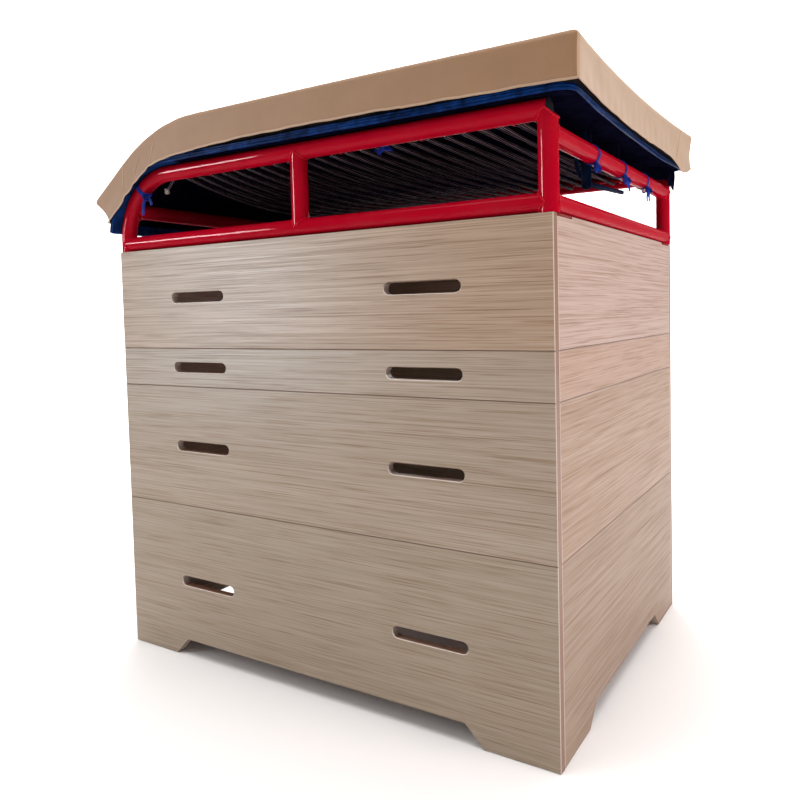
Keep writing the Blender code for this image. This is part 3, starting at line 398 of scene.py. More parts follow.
def tube_surface(rings, path, closed=False):
    """Points, faces and UV of a tube from its rings, its ends closed by shallow fans."""
    count, sides = rings.shape[:2]
    quads, steps = grid_quads(count, sides, join_rows=closed, join_columns=True)
    path = np.vstack([path, path[:1]]) if closed else np.asarray(path, dtype=float)
    length = np.concatenate([[0.0], np.cumsum(np.linalg.norm(np.diff(path, axis=0), axis=1))])
    uv = np.stack([length[steps[..., 0]], steps[..., 1] / sides], -1).reshape(-1, 2)
    points, faces = rings.reshape(-1, 3), quads.tolist()
    if not closed:
        points = np.vstack([points, rings[0].mean(axis=0), rings[-1].mean(axis=0)])
        near = np.arange(sides)
        after = (near + 1) % sides
        last = (count - 1) * sides
        faces += np.stack([np.full(sides, len(points) - 2), near, after], -1).tolist()
        faces += np.stack([np.full(sides, len(points) - 1), last + after, last + near], -1).tolist()
        uv = np.vstack([uv, np.zeros((6 * sides, 2))])
    return points, faces, uv


def carried_tube(path, radius, sides, reference, closed=False, squash=1.0):
    """The surface of a circle carried along a path."""
    return tube_surface(carried_circle(path, radius, sides, reference, closed, squash)[0], path, closed)


def join_surfaces(surfaces):
    """Several surfaces as one: their points stacked, and their faces counted on."""
    points, faces, uv, start = [], [], [], 0
    for some_points, some_faces, some_uv in surfaces:
        points.append(some_points)
        uv.append(some_uv)
        faces += [[corner + start for corner in face] for face in some_faces]
        start += len(some_points)
    return np.vstack(points), faces, np.vstack(uv)


TUBE_RADIUS = 0.019
RAIL_Y = 0.431
RAIL_END_X = 0.587
REAR_X = 0.585
TOP_RAIL_Z = 1.222
LOW_RAIL_Z = 1.054
CROSS_Z = 1.180
NOSE_CROSS_X, NOSE_CROSS_Z = -0.5647, 1.140
PLY_TOP = 1.035
BEND = 0.160
NOSE_X, NOSE_Z = -0.425, 1.062
COPE_DEPTH = 0.97
X_WAY, Y_WAY, Z_WAY = np.eye(3)


def coped_tube(path, reference, start_on=None, end_on=None):
    """A tube whose ends are coped to the tubes they meet, which run in the directions given.

    A point beside the neighbour's middle by d moves along the path by the square root of R² less d².
    """
    rings, ahead = carried_circle(path, TUBE_RADIUS, 48, reference)
    for index, neighbour, sign in ((0, start_on, 1.0), (-1, end_on, -1.0)):
        if neighbour is not None:
            away = (rings[index] - np.asarray(path[index])) @ np.cross(ahead[index], neighbour)
            saddle = np.sqrt(np.maximum(TUBE_RADIUS**2 - away**2, 0.0)) * COPE_DEPTH
            rings[index] += sign * saddle[:, None] * ahead[index]
    return tube_surface(rings, path)


def straight(start, end):
    """Points on a straight line, close together near its ends."""
    share = np.array([0.0, 0.12, 0.5, 0.88, 1.0])[:, None]
    return np.asarray(start) * (1 - share) + np.asarray(end) * share


tubes = {}
for side, label in ((-1, "right"), (1, "left")):
    y = side * RAIL_Y
    bend = np.linspace(np.pi, np.pi / 2, 33)
    nose = np.stack([NOSE_X + BEND * np.cos(bend), np.full(33, y), NOSE_Z + BEND * np.sin(bend)], -1)
    path = np.vstack([[[-REAR_X, y, PLY_TOP]], nose, [[0.0, y, TOP_RAIL_Z]], [[RAIL_END_X, y, TOP_RAIL_Z]]])
    tubes[label + "_top_rail"] = coped_tube(path, Y_WAY)
    for name, start, end, meets in (
        ("_bottom_rail", (-REAR_X, y, LOW_RAIL_Z), (REAR_X, y, LOW_RAIL_Z), (Z_WAY, Z_WAY)),
        ("_mid_post", (0.0, y, LOW_RAIL_Z), (0.0, y, TOP_RAIL_Z), (X_WAY, X_WAY)),
        ("_rear_post", (REAR_X, y, PLY_TOP), (REAR_X, y, TOP_RAIL_Z), (None, X_WAY)),
    ):
        tubes[label + name] = coped_tube(straight(start, end), Y_WAY, *meets)
for name, x, z in (
    ("rear_cross_tube", REAR_X, CROSS_Z),
    ("rear_bottom_rail", REAR_X, LOW_RAIL_Z),
    ("nose_bottom_rail", -REAR_X, LOW_RAIL_Z),
    ("nose_cross_tube", NOSE_CROSS_X, NOSE_CROSS_Z),
):
    tubes[name] = coped_tube(straight((x, -RAIL_Y, z), (x, RAIL_Y, z)), Z_WAY, Z_WAY, Z_WAY)
for name, surface in tubes.items():
    tube = make_piece(name + "_tube", surface, 50.0, red_coat)
    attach(tube, "top_section")
    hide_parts(name)


# Welds: a bead round every joint of the frame, laid in one pass, so it shows a row of small ripples. Its
# coat is the tubes' red painted lighter, a painted highlight that offsets the shade round the bead.
def weld_bead(joint, post_way, rail_way, bead=0.0021):
    """A rippled bead along the saddle curve of two tubes of one size that meet at a right angle.

    At turn t round the post, the saddle lies R |cos t| above the rail's axis, with t counted from the
    rail's direction turned a quarter, and the bead's size swells and shrinks with its length.
    """
    turn = np.linspace(0.0, 2 * np.pi, 180, endpoint=False)
    out = TUBE_RADIUS + 0.0004
    along = np.sqrt(np.maximum(TUBE_RADIUS**2 - (TUBE_RADIUS * np.sin(turn)) ** 2, 0.0)) + 0.0006
    path = np.asarray(joint) + along[:, None] * post_way + out * np.cos(turn)[:, None] * rail_way
    path = path + out * np.sin(turn)[:, None] * np.cross(post_way, rail_way)
    ripple = bead * (1.0 + 0.16 * np.sin(turn * 30.0) + 0.10 * np.sin(turn * 7.0 + 1.0))
    return carried_tube(path, ripple, 10, post_way + 0.3 * np.ones(3), closed=True)


beads = []
for side in (-1, 1):
    inward = -side * Y_WAY
    for x, z, post_way, rail_way in (
        (0.0, LOW_RAIL_Z, Z_WAY, X_WAY),
        (0.0, TOP_RAIL_Z, -Z_WAY, X_WAY),
        (REAR_X, TOP_RAIL_Z, -Z_WAY, X_WAY),
        (REAR_X, LOW_RAIL_Z, -X_WAY, Z_WAY),
        (-REAR_X, LOW_RAIL_Z, X_WAY, Z_WAY),
        (REAR_X, CROSS_Z, inward, Z_WAY),
        (REAR_X, LOW_RAIL_Z, inward, Z_WAY),
        (-REAR_X, LOW_RAIL_Z, inward, Z_WAY),
        (NOSE_CROSS_X, NOSE_CROSS_Z, inward, Z_WAY),
    ):
        beads.append(weld_bead((x, side * RAIL_Y, z), post_way, rail_way))
# Painted highlight: a lighter copy of the red coat, which offsets the shade round each bead.
weld_coat_painted_lighter = coated_metal("red_coat_painted_lighter_on_welds", (0.40, 0.0010, 0.010), (0.56, 0.0020, 0.018), 0.05, 0.22, 0.16)
welds = make_piece("frame_welds", join_surfaces(beads), 60.0, weld_coat_painted_lighter)
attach(welds, "top_section")


# Foot plates: 5 mm steel under the frame's corners, let into the end panels, with rounded edges. Their coat
# is the frame's red painted darker and browner, painted shade for the shadow under the frame, with patches
# of dust where it has rubbed.
def soft_plate(low, high, edge, corner_steps=5):
    """A flat plate with rounded corners and edges: an outline that shrinks towards both faces."""
    low, high = np.asarray(low, float), np.asarray(high, float)
    middle, half = (low + high) / 2, (high - low) / 2
    angle = np.concatenate([np.linspace(q * np.pi / 2, (q + 1) * np.pi / 2, corner_steps) for q in range(4)])
    corner = 2.5 * edge
    base_x = np.repeat([1, -1, -1, 1], corner_steps) * (half[0] - corner)
    base_y = np.repeat([1, 1, -1, -1], corner_steps) * (half[1] - corner)
    rows = []
    upper = ((1, 0.0, 1.0), (1, 0.0, 0.3), (1, 0.7, 0.0))
    lower = ((-1, 0.7, 0.0), (-1, 0.0, 0.3), (-1, 0.0, 1.0))
    for face, drop, inset in upper + lower:
        x = base_x + np.cos(angle) * (corner - inset * edge)
        y = base_y + np.sin(angle) * (corner - inset * edge)
        height = np.full(len(angle), face * (half[2] - drop * edge))
        rows.append(np.stack([x, y, height], -1) + middle)
    return tube_surface(np.array(rows), np.mean(rows, axis=1))


# Painted shade: a darker, browner copy of the red coat, with heavier dust where it has rubbed.
worn_and_shaded_coat = coated_metal("red_coat_worn_and_painted_shade", (0.16, 0.010, 0.010), (0.26, 0.018, 0.016), 0.35, 0.38, 0.25)
for corner in CORNERS:
    name = corner + "_foot_plate"
    plate = make_piece(name + "_steel", soft_plate(*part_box(name), 0.0008), 35.0, worn_and_shaded_coat)
    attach(plate, "top_section")
    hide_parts(name)


# Frame bolts: zinc-plated hexagon bolts with a washer face, one through each foot plate into the corner
# block. Only the heads show.
def hexagon_bolt(x, y, seat):
    """A bolt as stacked outlines: six-sided over the head's height and round where it is turned."""
    turn = np.linspace(0.0, 2 * np.pi, 36, endpoint=False)
    hexagon = 0.0065 / np.cos((turn + np.pi / 6) % (np.pi / 3) - np.pi / 6)
    head = ((0.0053, 0.0005), (0.0053, 0.0056), (0.0050, np.minimum(hexagon, 0.0066)), (0.0045, hexagon))
    washer = ((0.0006, hexagon), (0.0006, 0.0070), (0.0, 0.0070))
    shank = ((0.0, 0.0039), (-0.0450, 0.0039))
    rings = [
        np.stack([x + radius * np.cos(turn), y + radius * np.sin(turn), np.full(36, seat + height)], -1)
        for height, radius in head + washer + shank
    ]
    return tube_surface(np.array(rings), np.mean(rings, axis=1))


zinc, tree = new_finish("zinc_plate", {"Metallic": 1.0})
inputs = {"Vector": object_place(tree), "Patch Size": 60.0, "Amount": 0.6}
marks = wire(tree, "ShaderNodeGroup", inputs, node_tree=grime).outputs
colour = mix_colour(tree, marks["Mask"], (0.62, 0.62, 0.60), (0.34, 0.31, 0.27))
dress(zinc, colour, ramp(tree, marks["Fine"], 0.0, 1.0, 0.25, 0.5))
for corner in CORNERS:
    name = corner + "_frame_bolt"
    low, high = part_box(name)
    surface = hexagon_bolt((low[0] + high[0]) / 2, (low[1] + high[1]) / 2, PLY_TOP)
    bolt = make_piece(name + "_head", surface, 30.0, zinc)
    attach(bolt, "top_section")
    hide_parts(name)


# Rail plugs: dark moulded caps pushed into the rear ends of the top rails. Each has a slightly domed head
# with a rounded rim and a shank that hides in the tube.
moulded, tree = new_finish("moulded_plug", {"Roughness": 0.5, "Specular IOR Level": 0.12})
grain = noise(tree, object_place(tree), 1400.0, 2.0)
colour = mix_colour(tree, grain, (0.006, 0.005, 0.008), (0.016, 0.014, 0.019))
dress(moulded, colour, None, relief(tree, 0.25, 0.0002, grain))
stations = np.array([-0.015, -0.0145, -0.0005, 0.0, 0.0, 0.0008, 0.0022, 0.0031, 0.0035])
radii = np.array([0.0150, 0.0158, 0.0158, 0.0158, 0.0186, 0.0190, 0.0184, 0.0150, 0.0060])
turn = np.linspace(0.0, 2 * np.pi, 40, endpoint=False)[None, :, None]
for side, label in ((-1, "right"), (1, "left")):
    low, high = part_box(label + "_rail_plug")
    head_x = high[0] - stations[-1]
    path = np.column_stack([head_x + stations, np.full(9, side * RAIL_Y), np.full(9, TOP_RAIL_Z)])
    rings = path[:, None, :] + radii[:, None, None] * (np.cos(turn) * Y_WAY + np.sin(turn) * Z_WAY)
    plug = make_piece(label + "_plug_cap", tube_surface(rings[:, ::-1], path), 40.0, moulded)
    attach(plug, "top_section")
    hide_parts(label + "_rail_plug")


# Lacing rods: 10 mm round bar inside each top rail, carried by short flat tabs that are welded to the rail.
# The cord is wound round them, and the coat on them is scuffed.
ROD_Y = 0.390
CORD_RADIUS = 0.004
CORD_TURN = 0.010
CORD_PASSES = 47
BED_REAR_X, BED_NOSE_X = 0.540, -0.440
CORD_STEP = (BED_REAR_X - BED_NOSE_X) / CORD_PASSES
ROD_RADIUS = 0.0050
ROD_OVERHANG = 0.014
CHAMFER = 0.001 * X_WAY
TAB_EVERY = 10
for side, label in ((-1, "right"), (1, "left")):
    y = side * ROD_Y
    path = straight((BED_NOSE_X - ROD_OVERHANG, y, TOP_RAIL_Z), (BED_REAR_X + ROD_OVERHANG, y, TOP_RAIL_Z))
    path = np.vstack([path[:1], path[:1] + CHAMFER, path[1:-1], path[-1:] - CHAMFER, path[-1:]])
    bars = [carried_tube(path, [0.0040] + [ROD_RADIUS] * 5 + [0.0040], 24, Y_WAY)]
    for step in range(2 if side < 0 else 3, CORD_PASSES - 1, TAB_EVERY):
        x = BED_REAR_X - step * CORD_STEP
        near, far = sorted((side * (ROD_Y - 0.011), side * (RAIL_Y - TUBE_RADIUS + 0.001)))
        spots, faces, uv = soft_plate((-0.009, near, -0.0025), (0.009, far, 0.0025), 0.0007)
        upright = np.stack([spots[:, 2] + x, spots[:, 1], spots[:, 0] + TOP_RAIL_Z], -1)
        bars.append((upright, [face[::-1] for face in faces], uv))
    rod = make_piece(label + "_rod_and_tabs", join_surfaces(bars), 35.0, red_coat)
    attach(rod, "top_section")
    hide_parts(label + "_lacing_rod")


# Bed cord: one 8 mm elastic cord, wound over one rod and back under it, from the rear to the nose. Its
# braided sheath is dark plum, painted darker in the grooves of the braid, painted shade, with pale flecks on
# the crests, painted glints, and the passes sag more towards the nose.
LEAST_SAG, ADDED_SAG = 0.004, 0.046
TAIL, TAIL_SWING = 0.034, 0.029
BRAID_PITCH = 0.0084


def cord_sag(x):
    """Sag in the middle of a pass, which grows with the square of the way to the nose."""
    return LEAST_SAG + ADDED_SAG * ((BED_REAR_X - x) / (BED_REAR_X - BED_NOSE_X)) ** 2


def half_turn(x, side, start, end, steps):
    """Points round the outer side of a rod, by their angle from straight outwards."""
    angle = np.linspace(start, end, steps + 1)
    y = side * (ROD_Y + CORD_TURN * np.cos(angle))
    return np.stack([np.full(steps + 1, x), y, TOP_RAIL_Z + CORD_TURN * np.sin(angle)], -1)


quarter = np.pi / 2
side, x = 1, BED_REAR_X
down = np.linspace(TAIL, 0.002, 6)[:, None]
first_turn = half_turn(x, side, 0.0, quarter, 6)
stretches = [first_turn[:1] - down * Z_WAY, first_turn]
share = np.linspace(0.0, 1.0, 22)[1:-1]
for number in range(CORD_PASSES):
    level = 1 if number % 2 == 0 else -1
    span_x = x - CORD_STEP * share
    span_y = side * ROD_Y * (1 - 2 * share)
    hang = cord_sag(span_x) * (1 - (span_y / ROD_Y) ** 2)
    stretches.append(np.stack([span_x, span_y, TOP_RAIL_Z + level * CORD_TURN - hang], -1))
    x -= CORD_STEP
    side = -side
    if number < CORD_PASSES - 1:
        stretches.append(half_turn(x, side, level * quarter, -level * quarter, 10))
stretches.append(half_turn(x, side, quarter, 0.0, 6))
down = down[::-1]
stretches.append(stretches[-1][-1:] - down * Z_WAY - TAIL_SWING * (down / TAIL) ** 1.4 * X_WAY)
sheath, tree = new_finish("braided_sheath", {"Roughness": 0.7, "Specular IOR Level": 0.0})
surface_uv = wire(tree, "ShaderNodeUVMap", uv_map="surface").outputs["UV"]
parts = wire(tree, "ShaderNodeSeparateXYZ", {0: surface_uv}).outputs
run = maths(tree, "MULTIPLY", parts[0], 2 * np.pi / BRAID_PITCH)
lap = maths(tree, "MULTIPLY", parts[1], 2 * np.pi * 3)
strands = [maths(tree, "SINE", maths(tree, way, run, lap)) for way in ("ADD", "SUBTRACT")]
braid = maths(tree, "MULTIPLY", *strands)
height = ramp(tree, braid, -1.0, 1.0)
# Painted shade and glints: the colour darkens in the grooves of the braid and turns pale on its crests.
colour = mix_colour(tree, height, (0.006, 0.003, 0.006), (0.026, 0.012, 0.020))
colour = mix_colour(tree, ramp(tree, braid, 0.30, 0.70), colour, (0.42, 0.34, 0.38))
dress(sheath, colour, None, relief(tree, 0.6, 0.0006, height))
surface = carried_tube(np.vstack(stretches), CORD_RADIUS, 12, X_WAY)
cord = make_piece("wound_bed_cord", surface, 50.0, sheath)
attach(cord, "top_section")
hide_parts("bed_cord")

# Knots: each end of the cord is knotted so that it can't slip back round its rod. The nose one, which shows
# from the run-up side, is wound with pale tape. Each runs on a trefoil's curve.
turn = np.linspace(0.0, 2 * np.pi, 120, endpoint=False)
trefoil = np.stack(
    [np.sin(turn) + 2 * np.sin(2 * turn), -1.6 * np.sin(3 * turn), np.cos(turn) - 2 * np.cos(2 * turn)], -1
)
KNOT_DROP, KNOT_SIZE, KNOT_RADIUS = 0.035, 0.0019, 0.0027
last_x = BED_REAR_X - CORD_PASSES * CORD_STEP
for label, x, side, pale, dark in (
    ("rear", BED_REAR_X, 1, (0.10, 0.08, 0.09), (0.02, 0.012, 0.018)),
    ("nose", last_x - 0.030, -1, (0.62, 0.58, 0.52), (0.25, 0.21, 0.19)),
):
    path = np.array([x, side * (ROD_Y + CORD_TURN), TOP_RAIL_Z - KNOT_DROP]) + trefoil * KNOT_SIZE
    tape_wrap, tree = new_finish(label + "_knot_tape", {"Roughness": 0.8})
    fuzz = noise(tree, object_place(tree), 420.0, 3.0)
    # Painted shade: the tape and the cord are darker in the hollows of their fuzz, which the same noise
    # raises.
    dress(tape_wrap, mix_colour(tree, fuzz, dark, pale), None, relief(tree, 0.5, 0.0005, fuzz))
    surface = carried_tube(path, KNOT_RADIUS, 10, (0.2, 1.0, 0.1), closed=True)
    knot = make_piece(label + "_cord_knot", surface, 60.0, tape_wrap)
    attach(knot, "top_section")


# Base mat: a coated blue sheet quilted round thin felt, which lies on the rails under the pad and wraps the
# nose bend. Its rear corners are rounded, and its underside hangs a little between the rails.
MAT_BOTTOM = 1.2413
MAT_THICK = 0.0114
MAT_REAR = 0.643
MAT_HALF = 0.4645
MAT_CORNER = 0.035
MAT_INNER = MAT_BOTTOM - NOSE_Z
MAT_FLAT = MAT_REAR - NOSE_X
MAT_LENGTH = MAT_FLAT + math.radians(83.5) * (MAT_INNER + MAT_THICK / 2)
BETWEEN_RAILS, UNDER_HANG, END_ROLL = 0.385, 0.0016, 0.0080
COLUMNS = 73


def unit(value):
    """A value held between nothing and one."""
    return np.clip(value, 0.0, 1.0)


def on_mat(s, y, height):
    """Point at s metres from the mat's rear edge, y across and height over its underside.

    Flat as far as the nose bend, then round the bend's middle. The rear edge bows in between its corners.
    """
    s, y, height = np.broadcast_arrays(s, y, height)
    angle = np.clip(s - MAT_FLAT, 0.0, None) / (MAT_INNER + MAT_THICK / 2)
    radius = MAT_INNER + height
    bow = 0.018 * unit(1 - (y / MAT_HALF) ** 2) + 0.012 * unit((y + 0.1) / 0.4)
    bow = bow * unit(1 - s / 0.15) ** 2
    x = np.where(s < MAT_FLAT, MAT_REAR - s - bow, NOSE_X - radius * np.sin(angle))
    return np.stack([x, y, NOSE_Z + radius * np.cos(angle)], -1)


def mat_half_width(s):
    """Half the mat's width, drawn in round its rear corners."""
    into = np.clip(MAT_CORNER - s, 0.0, MAT_CORNER)
    return MAT_HALF - 0.001 - MAT_CORNER + np.sqrt(MAT_CORNER**2 - into**2)


rear_rows = [0.0, 0.0015, 0.004, 0.009, 0.016, 0.025]
middle_rows = np.linspace(MAT_CORNER, MAT_LENGTH - 0.004, 112)
rows = np.concatenate([rear_rows, middle_rows, [MAT_LENGTH - 0.0015, MAT_LENGTH]])[:, None]
fullness = np.ones(rows.shape)
fullness[[0, -1]] = 0.05
fullness[[1, -2]] = 0.72
across = np.linspace(-1.0, 1.0, COLUMNS)
edge = np.array([0.25, 0.5, 0.75])
swell = 0.0009 * np.sin(np.pi * edge)
none, full = np.zeros(COLUMNS), np.ones(COLUMNS)
loop_y = np.concatenate([across, np.ones(3), across[::-1], -np.ones(3)])
loop_h = np.concatenate([none, edge, full, edge[::-1]])
grid_y = mat_half_width(rows) * loop_y + np.concatenate([none, swell, none, -swell])
grid_h = MAT_THICK * (0.5 + (loop_h - 0.5) * fullness)
inside = unit(1 - (grid_y / BETWEEN_RAILS) ** 2) * unit(rows / 0.12)
inside *= unit((MAT_FLAT - rows) / 0.1)
quilt = 0.5 + 0.5 * np.sin(rows * 61.0) * np.sin(grid_y * 47.0 + 0.7)
grid_h -= np.where(loop_h < 0.1, UNDER_HANG * inside * (0.6 + 0.4 * quilt), 0.0)
near_end = np.sin(np.pi * unit((MAT_LENGTH - rows) / 0.024)) ** 0.7
grid_h += END_ROLL * (near_end * (loop_h - 0.2)) * (1 + 0.25 * np.sin(grid_y * 57.0))
rings = on_mat(rows, grid_y, grid_h)


def cloth_group():
    """A fine plain weave and slow creases, from a vector in metres."""
    takes = ("Vector", "Thread Scale", "Crease Scale")
    group, entry, leave = new_group("cloth_surface", takes, ("Weave", "Creases", "Mottle"))
    weave = wire(group, "ShaderNodeTexVoronoi", {"Vector": entry["Vector"], "Scale": entry["Thread Scale"]})
    group.links.new(weave.outputs["Distance"], leave["Weave"])
    group.links.new(noise(group, entry["Vector"], entry["Crease Scale"], 3.0, 0.5, 1.2), leave["Creases"])
    group.links.new(noise(group, entry["Vector"], 7.0, 4.0, 0.6), leave["Mottle"])
    return group


cloth = cloth_group()


def coated_cloth(name, deep, bright, roughness, crease_depth, threads=900.0, gloss=0.03):
    """A cloth with a thin coat: two tones that follow its creases, and a fine woven relief."""
    finish, tree = new_finish(name, {"Specular IOR Level": gloss})
    inputs = {"Vector": object_place(tree), "Thread Scale": threads, "Crease Scale": 26.0}
    fabric = wire(tree, "ShaderNodeGroup", inputs, node_tree=cloth).outputs
    # Painted shade: the darker tone lies in the hollows of the creases, which the same noise raises in the
    # relief below.
    colour = mix_colour(tree, ramp(tree, fabric["Creases"], 0.32, 0.68), deep, bright)
    shine = ramp(tree, fabric["Mottle"], 0.0, 1.0, roughness - 0.08, roughness + 0.10)
    folds = relief(tree, 0.8, crease_depth, fabric["Creases"])
    dress(finish, colour, shine, relief(tree, 0.35, 0.0002, fabric["Weave"], folds))
    return finish


mat_cloth = coated_cloth("blue_coated_cloth", (0.003, 0.014, 0.060), (0.008, 0.042, 0.190), 0.45, 0.0025)
# Painted shade: the mat's underside, the ties' legs and the hanging corner are drawn in a near-black copy of
# the blue cloth, which stands for the shade under the mat and behind the posts.
shaded_mat_blues = (0.0018, 0.0018, 0.0060), (0.0045, 0.0045, 0.015)
shaded_mat_cloth = coated_cloth("mat_cloth_painted_shade", *shaded_mat_blues, 0.6, 0.0025, gloss=0.0)
mat = make_piece("base_mat_sheet", tube_surface(rings, rings.mean(axis=1)), 60.0, mat_cloth, shaded_mat_cloth)
# The underside faces take the shaded copy, painted shade, except near the edges at the nose, where the blue
# shows.
margin = np.minimum(MAT_HALF - np.abs(grid_y[:-1, : COLUMNS - 1]), (MAT_LENGTH - rows[:-1]) / 0.7)
under = np.zeros((len(rows) - 1, len(loop_y)), bool)
under[:, : COLUMNS - 1] = (margin > 0.042) | (rows[:-1] < MAT_FLAT - 0.06)
cloths = np.zeros(len(mat.data.polygons), np.int32)
cloths[: under.size] = under.ravel()
mat.data.polygons.foreach_set("material_index", cloths)
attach(mat, "top_section")
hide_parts("base_mat")

# Mat edge: the sheet is folded under and stitched in three thin rolls all round, in a brighter blue where
# the coat is stretched. The rolls waver, most of all round the nose.
run_along = np.linspace(MAT_LENGTH - 0.002, MAT_CORNER, 170)
turn = np.linspace(0.0, np.pi / 2, 14)[1:]
corner_s = MAT_CORNER - MAT_CORNER * np.sin(turn)
corner_y = MAT_HALF - MAT_CORNER + MAT_CORNER * np.cos(turn)
rear_y = np.linspace(corner_y[-1], -corner_y[-1], 90)[1:-1]
long_side, rear_side = np.ones(len(run_along)), np.ones(len(rear_y))
outline_s = np.concatenate([run_along, corner_s, 0 * rear_side, corner_s[::-1], run_along[::-1]])
outline_y = np.concatenate([MAT_HALF * long_side, corner_y, rear_y, -corner_y[::-1], -MAT_HALF * long_side])
outward_s = np.concatenate([0 * long_side, -np.sin(turn), -rear_side, -np.sin(turn[::-1]), 0 * long_side])
outward_y = np.concatenate([long_side, np.cos(turn), 0 * rear_side, -np.cos(turn[::-1]), -long_side])
way = np.concatenate([[0.0], np.cumsum(np.hypot(np.diff(outline_s), np.diff(outline_y)))])
near_nose = unit((outline_s - 0.85) / 0.35)
up = on_mat(outline_s, outline_y, 0.02) - on_mat(outline_s, outline_y, 0.0)
rolls = []
for number, (height, out, size) in enumerate(
    ((0.0024, 0.0002, 0.0028), (0.0077, 0.0008, 0.0027), (0.0128, 0.0, 0.0026))
):
    sway = np.sin(way * (9.0 + 2.0 * number) + 1.9 * number) + 0.6 * np.sin(way * 23.0 + 2.3 * number)
    slow = 0.0005 * sway + near_nose * 0.0012 * np.sin(way * 44.0 + 1.1 * number)
    push = out + 0.0006 * np.sin(way * 15.0 + number)
    push = push + near_nose * 0.0016 * (0.5 + 0.5 * np.sin(way * 52.0 + number))
    path = on_mat(outline_s + outward_s * push, outline_y + outward_y * push, height + slow)
    rolls.append(carried_tube(path, size * (1 + 0.12 * np.sin(way * 31.0 + number)), 12, up))
bright_cloth = coated_cloth("royal_blue_fold", (0.0010, 0.009, 0.045), (0.0045, 0.036, 0.165), 0.35, 0.0012)
fold = make_piece("mat_edge_rolls", join_surfaces(rolls), 60.0, bright_cloth)
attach(fold, "top_section")


# Ties: blue tapes sewn to the mat, passed round the tubes and tied in small bows, three at the rear, one on
# the near top rail and one on the near nose bend.
TAPE_THICK = 0.0011


def tape(path, width_way, width, thick=TAPE_THICK):
    """A flat tape along a path: a squashed ring, wide along width_way."""
    path = np.asarray(path, float)
    flat_way = np.cross(np.gradient(path, axis=0), width_way)
    return carried_tube(path, width / 2, 14, flat_way, squash=2 * thick / width)


def smooth_curve(corners, steps):
    """Points on a Catmull-Rom curve through the corners."""
    corners = np.asarray(corners, float)
    padded = np.vstack([2 * corners[0] - corners[1], corners, 2 * corners[-1] - corners[-2]])
    t = np.linspace(0.0, 1.0, steps, endpoint=False)[:, None]
    pieces = []
    for a, b, c, d in zip(padded[:-3], padded[1:-2], padded[2:-1], padded[3:]):
        square, cube = 2 * a - 5 * b + 4 * c - d, 3 * b - a - 3 * c + d
        pieces.append(0.5 * (2 * b + (c - a) * t + square * t**2 + cube * t**3))
    return np.vstack(pieces + [corners[-1:]])


def bow(middle, tube_way, lift, front, radius, leg, turned, tails, ears):
    """A tape round a tube: one full turn, a leg up to the mat, and a bow of two ears and two tails.

    tube_way is the tube's direction, lift the way to the mat, and front the side where the tape shows. The
    bow sits at turned, its angle from front towards lift. The leg is given apart from the rest.
    """
    reach = radius + TAPE_THICK
    angle = np.linspace(0.5 * np.pi, -1.5 * np.pi, 44)[:, None]
    skew = 0.007 * np.linspace(-1.0, 1.0, 44)[:, None] * tube_way
    surfaces = [tape(middle + reach * (np.cos(angle) * front + np.sin(angle) * lift) + skew, tube_way, 0.012)]
    upright = tape(straight(middle + reach * lift, middle + leg * lift), tube_way, 0.011)
    out = math.cos(turned) * front + math.sin(turned) * lift
    seat = middle + (reach + 0.0036) * out
    spin = np.linspace(0.0, np.pi, 12)
    ball = seat - np.cos(spin)[:, None] * 0.0072 * tube_way
    fat = 0.0058 * np.sin(np.clip(spin, 0.25, np.pi - 0.25))
    surfaces.append(carried_tube(ball, fat, 14, out, squash=0.8))
    for sign, (spread, drop, length) in zip((1, -1), ears):
        tip = seat + sign * spread * tube_way + 0.6 * length * out - drop * Z_WAY
        belly, plump = 0.5 * (seat + tip), 0.0045 * Z_WAY
        path = smooth_curve([seat, belly + plump, tip, belly - plump, seat - 0.0005 * out], 8)
        surfaces.append(tape(path, np.cross(tip - seat, Z_WAY), 0.010))
    for sign, (spread, drop, kick) in zip((1, -1), tails):
        hangs = ((0.0, 0.0, 0.0), (0.35, 0.004, 0.25), (0.8, kick, 0.62), (1.0, 1.4 * kick, 1.0))
        corners = [
            seat + sign * along * spread * tube_way + push * out - fall * drop * Z_WAY
            for along, push, fall in hangs
        ]
        surfaces.append(tape(smooth_curve(corners, 8), tube_way + 0.35 * out, 0.009))
    return surfaces, upright


lean = math.radians(37.0)
bend_out = np.array([-math.sin(lean), 0.0, math.cos(lean)])
bend_way = np.array([-math.cos(lean), 0.0, -math.sin(lean)])
bend_middle = np.array([NOSE_X, -RAIL_Y, NOSE_Z]) + BEND * bend_out
rear_leg = MAT_BOTTOM - CROSS_Z + 0.001
rail_leg = MAT_BOTTOM - TOP_RAIL_Z + 0.001
rear_ties = (np.array([REAR_X, y, CROSS_Z]) for y in (-0.191, 0.007, 0.205))
tied_at = [(middle, Y_WAY, Z_WAY, X_WAY, TUBE_RADIUS, rear_leg) for middle in rear_ties]
tied_at.append((np.array([0.200, -ROD_Y, TOP_RAIL_Z]), X_WAY, Z_WAY, -Y_WAY, 0.005, rail_leg))
tied_at.append((bend_middle, bend_way, bend_out, -Y_WAY, TUBE_RADIUS, rail_leg))
bow_shapes = (
    (-1.1, ((0.010, 0.012, 0.002), (0.006, 0.016, 0.002)), ((0.016, 0.004, 0.012), (0.013, 0.006, 0.012))),
    (-0.9, ((0.026, 0.026, 0.004), (0.010, 0.016, 0.003)), ((0.020, 0.004, 0.014), (0.018, 0.008, 0.012))),
    (-0.9, ((0.008, 0.028, 0.004), (0.020, 0.030, 0.005)), ((0.018, 0.002, 0.014), (0.018, 0.006, 0.012))),
    (-1.45, ((0.018, 0.006, 0.003), (0.012, 0.012, 0.003)), ((0.021, 0.003, 0.010), (0.021, 0.001, 0.010))),
    (-1.15, ((-0.034, 0.042, 0.003), (-0.008, 0.04, 0.002)), ((-0.03, 0.012, 0.010), (0.02, 0.020, 0.010))),
)
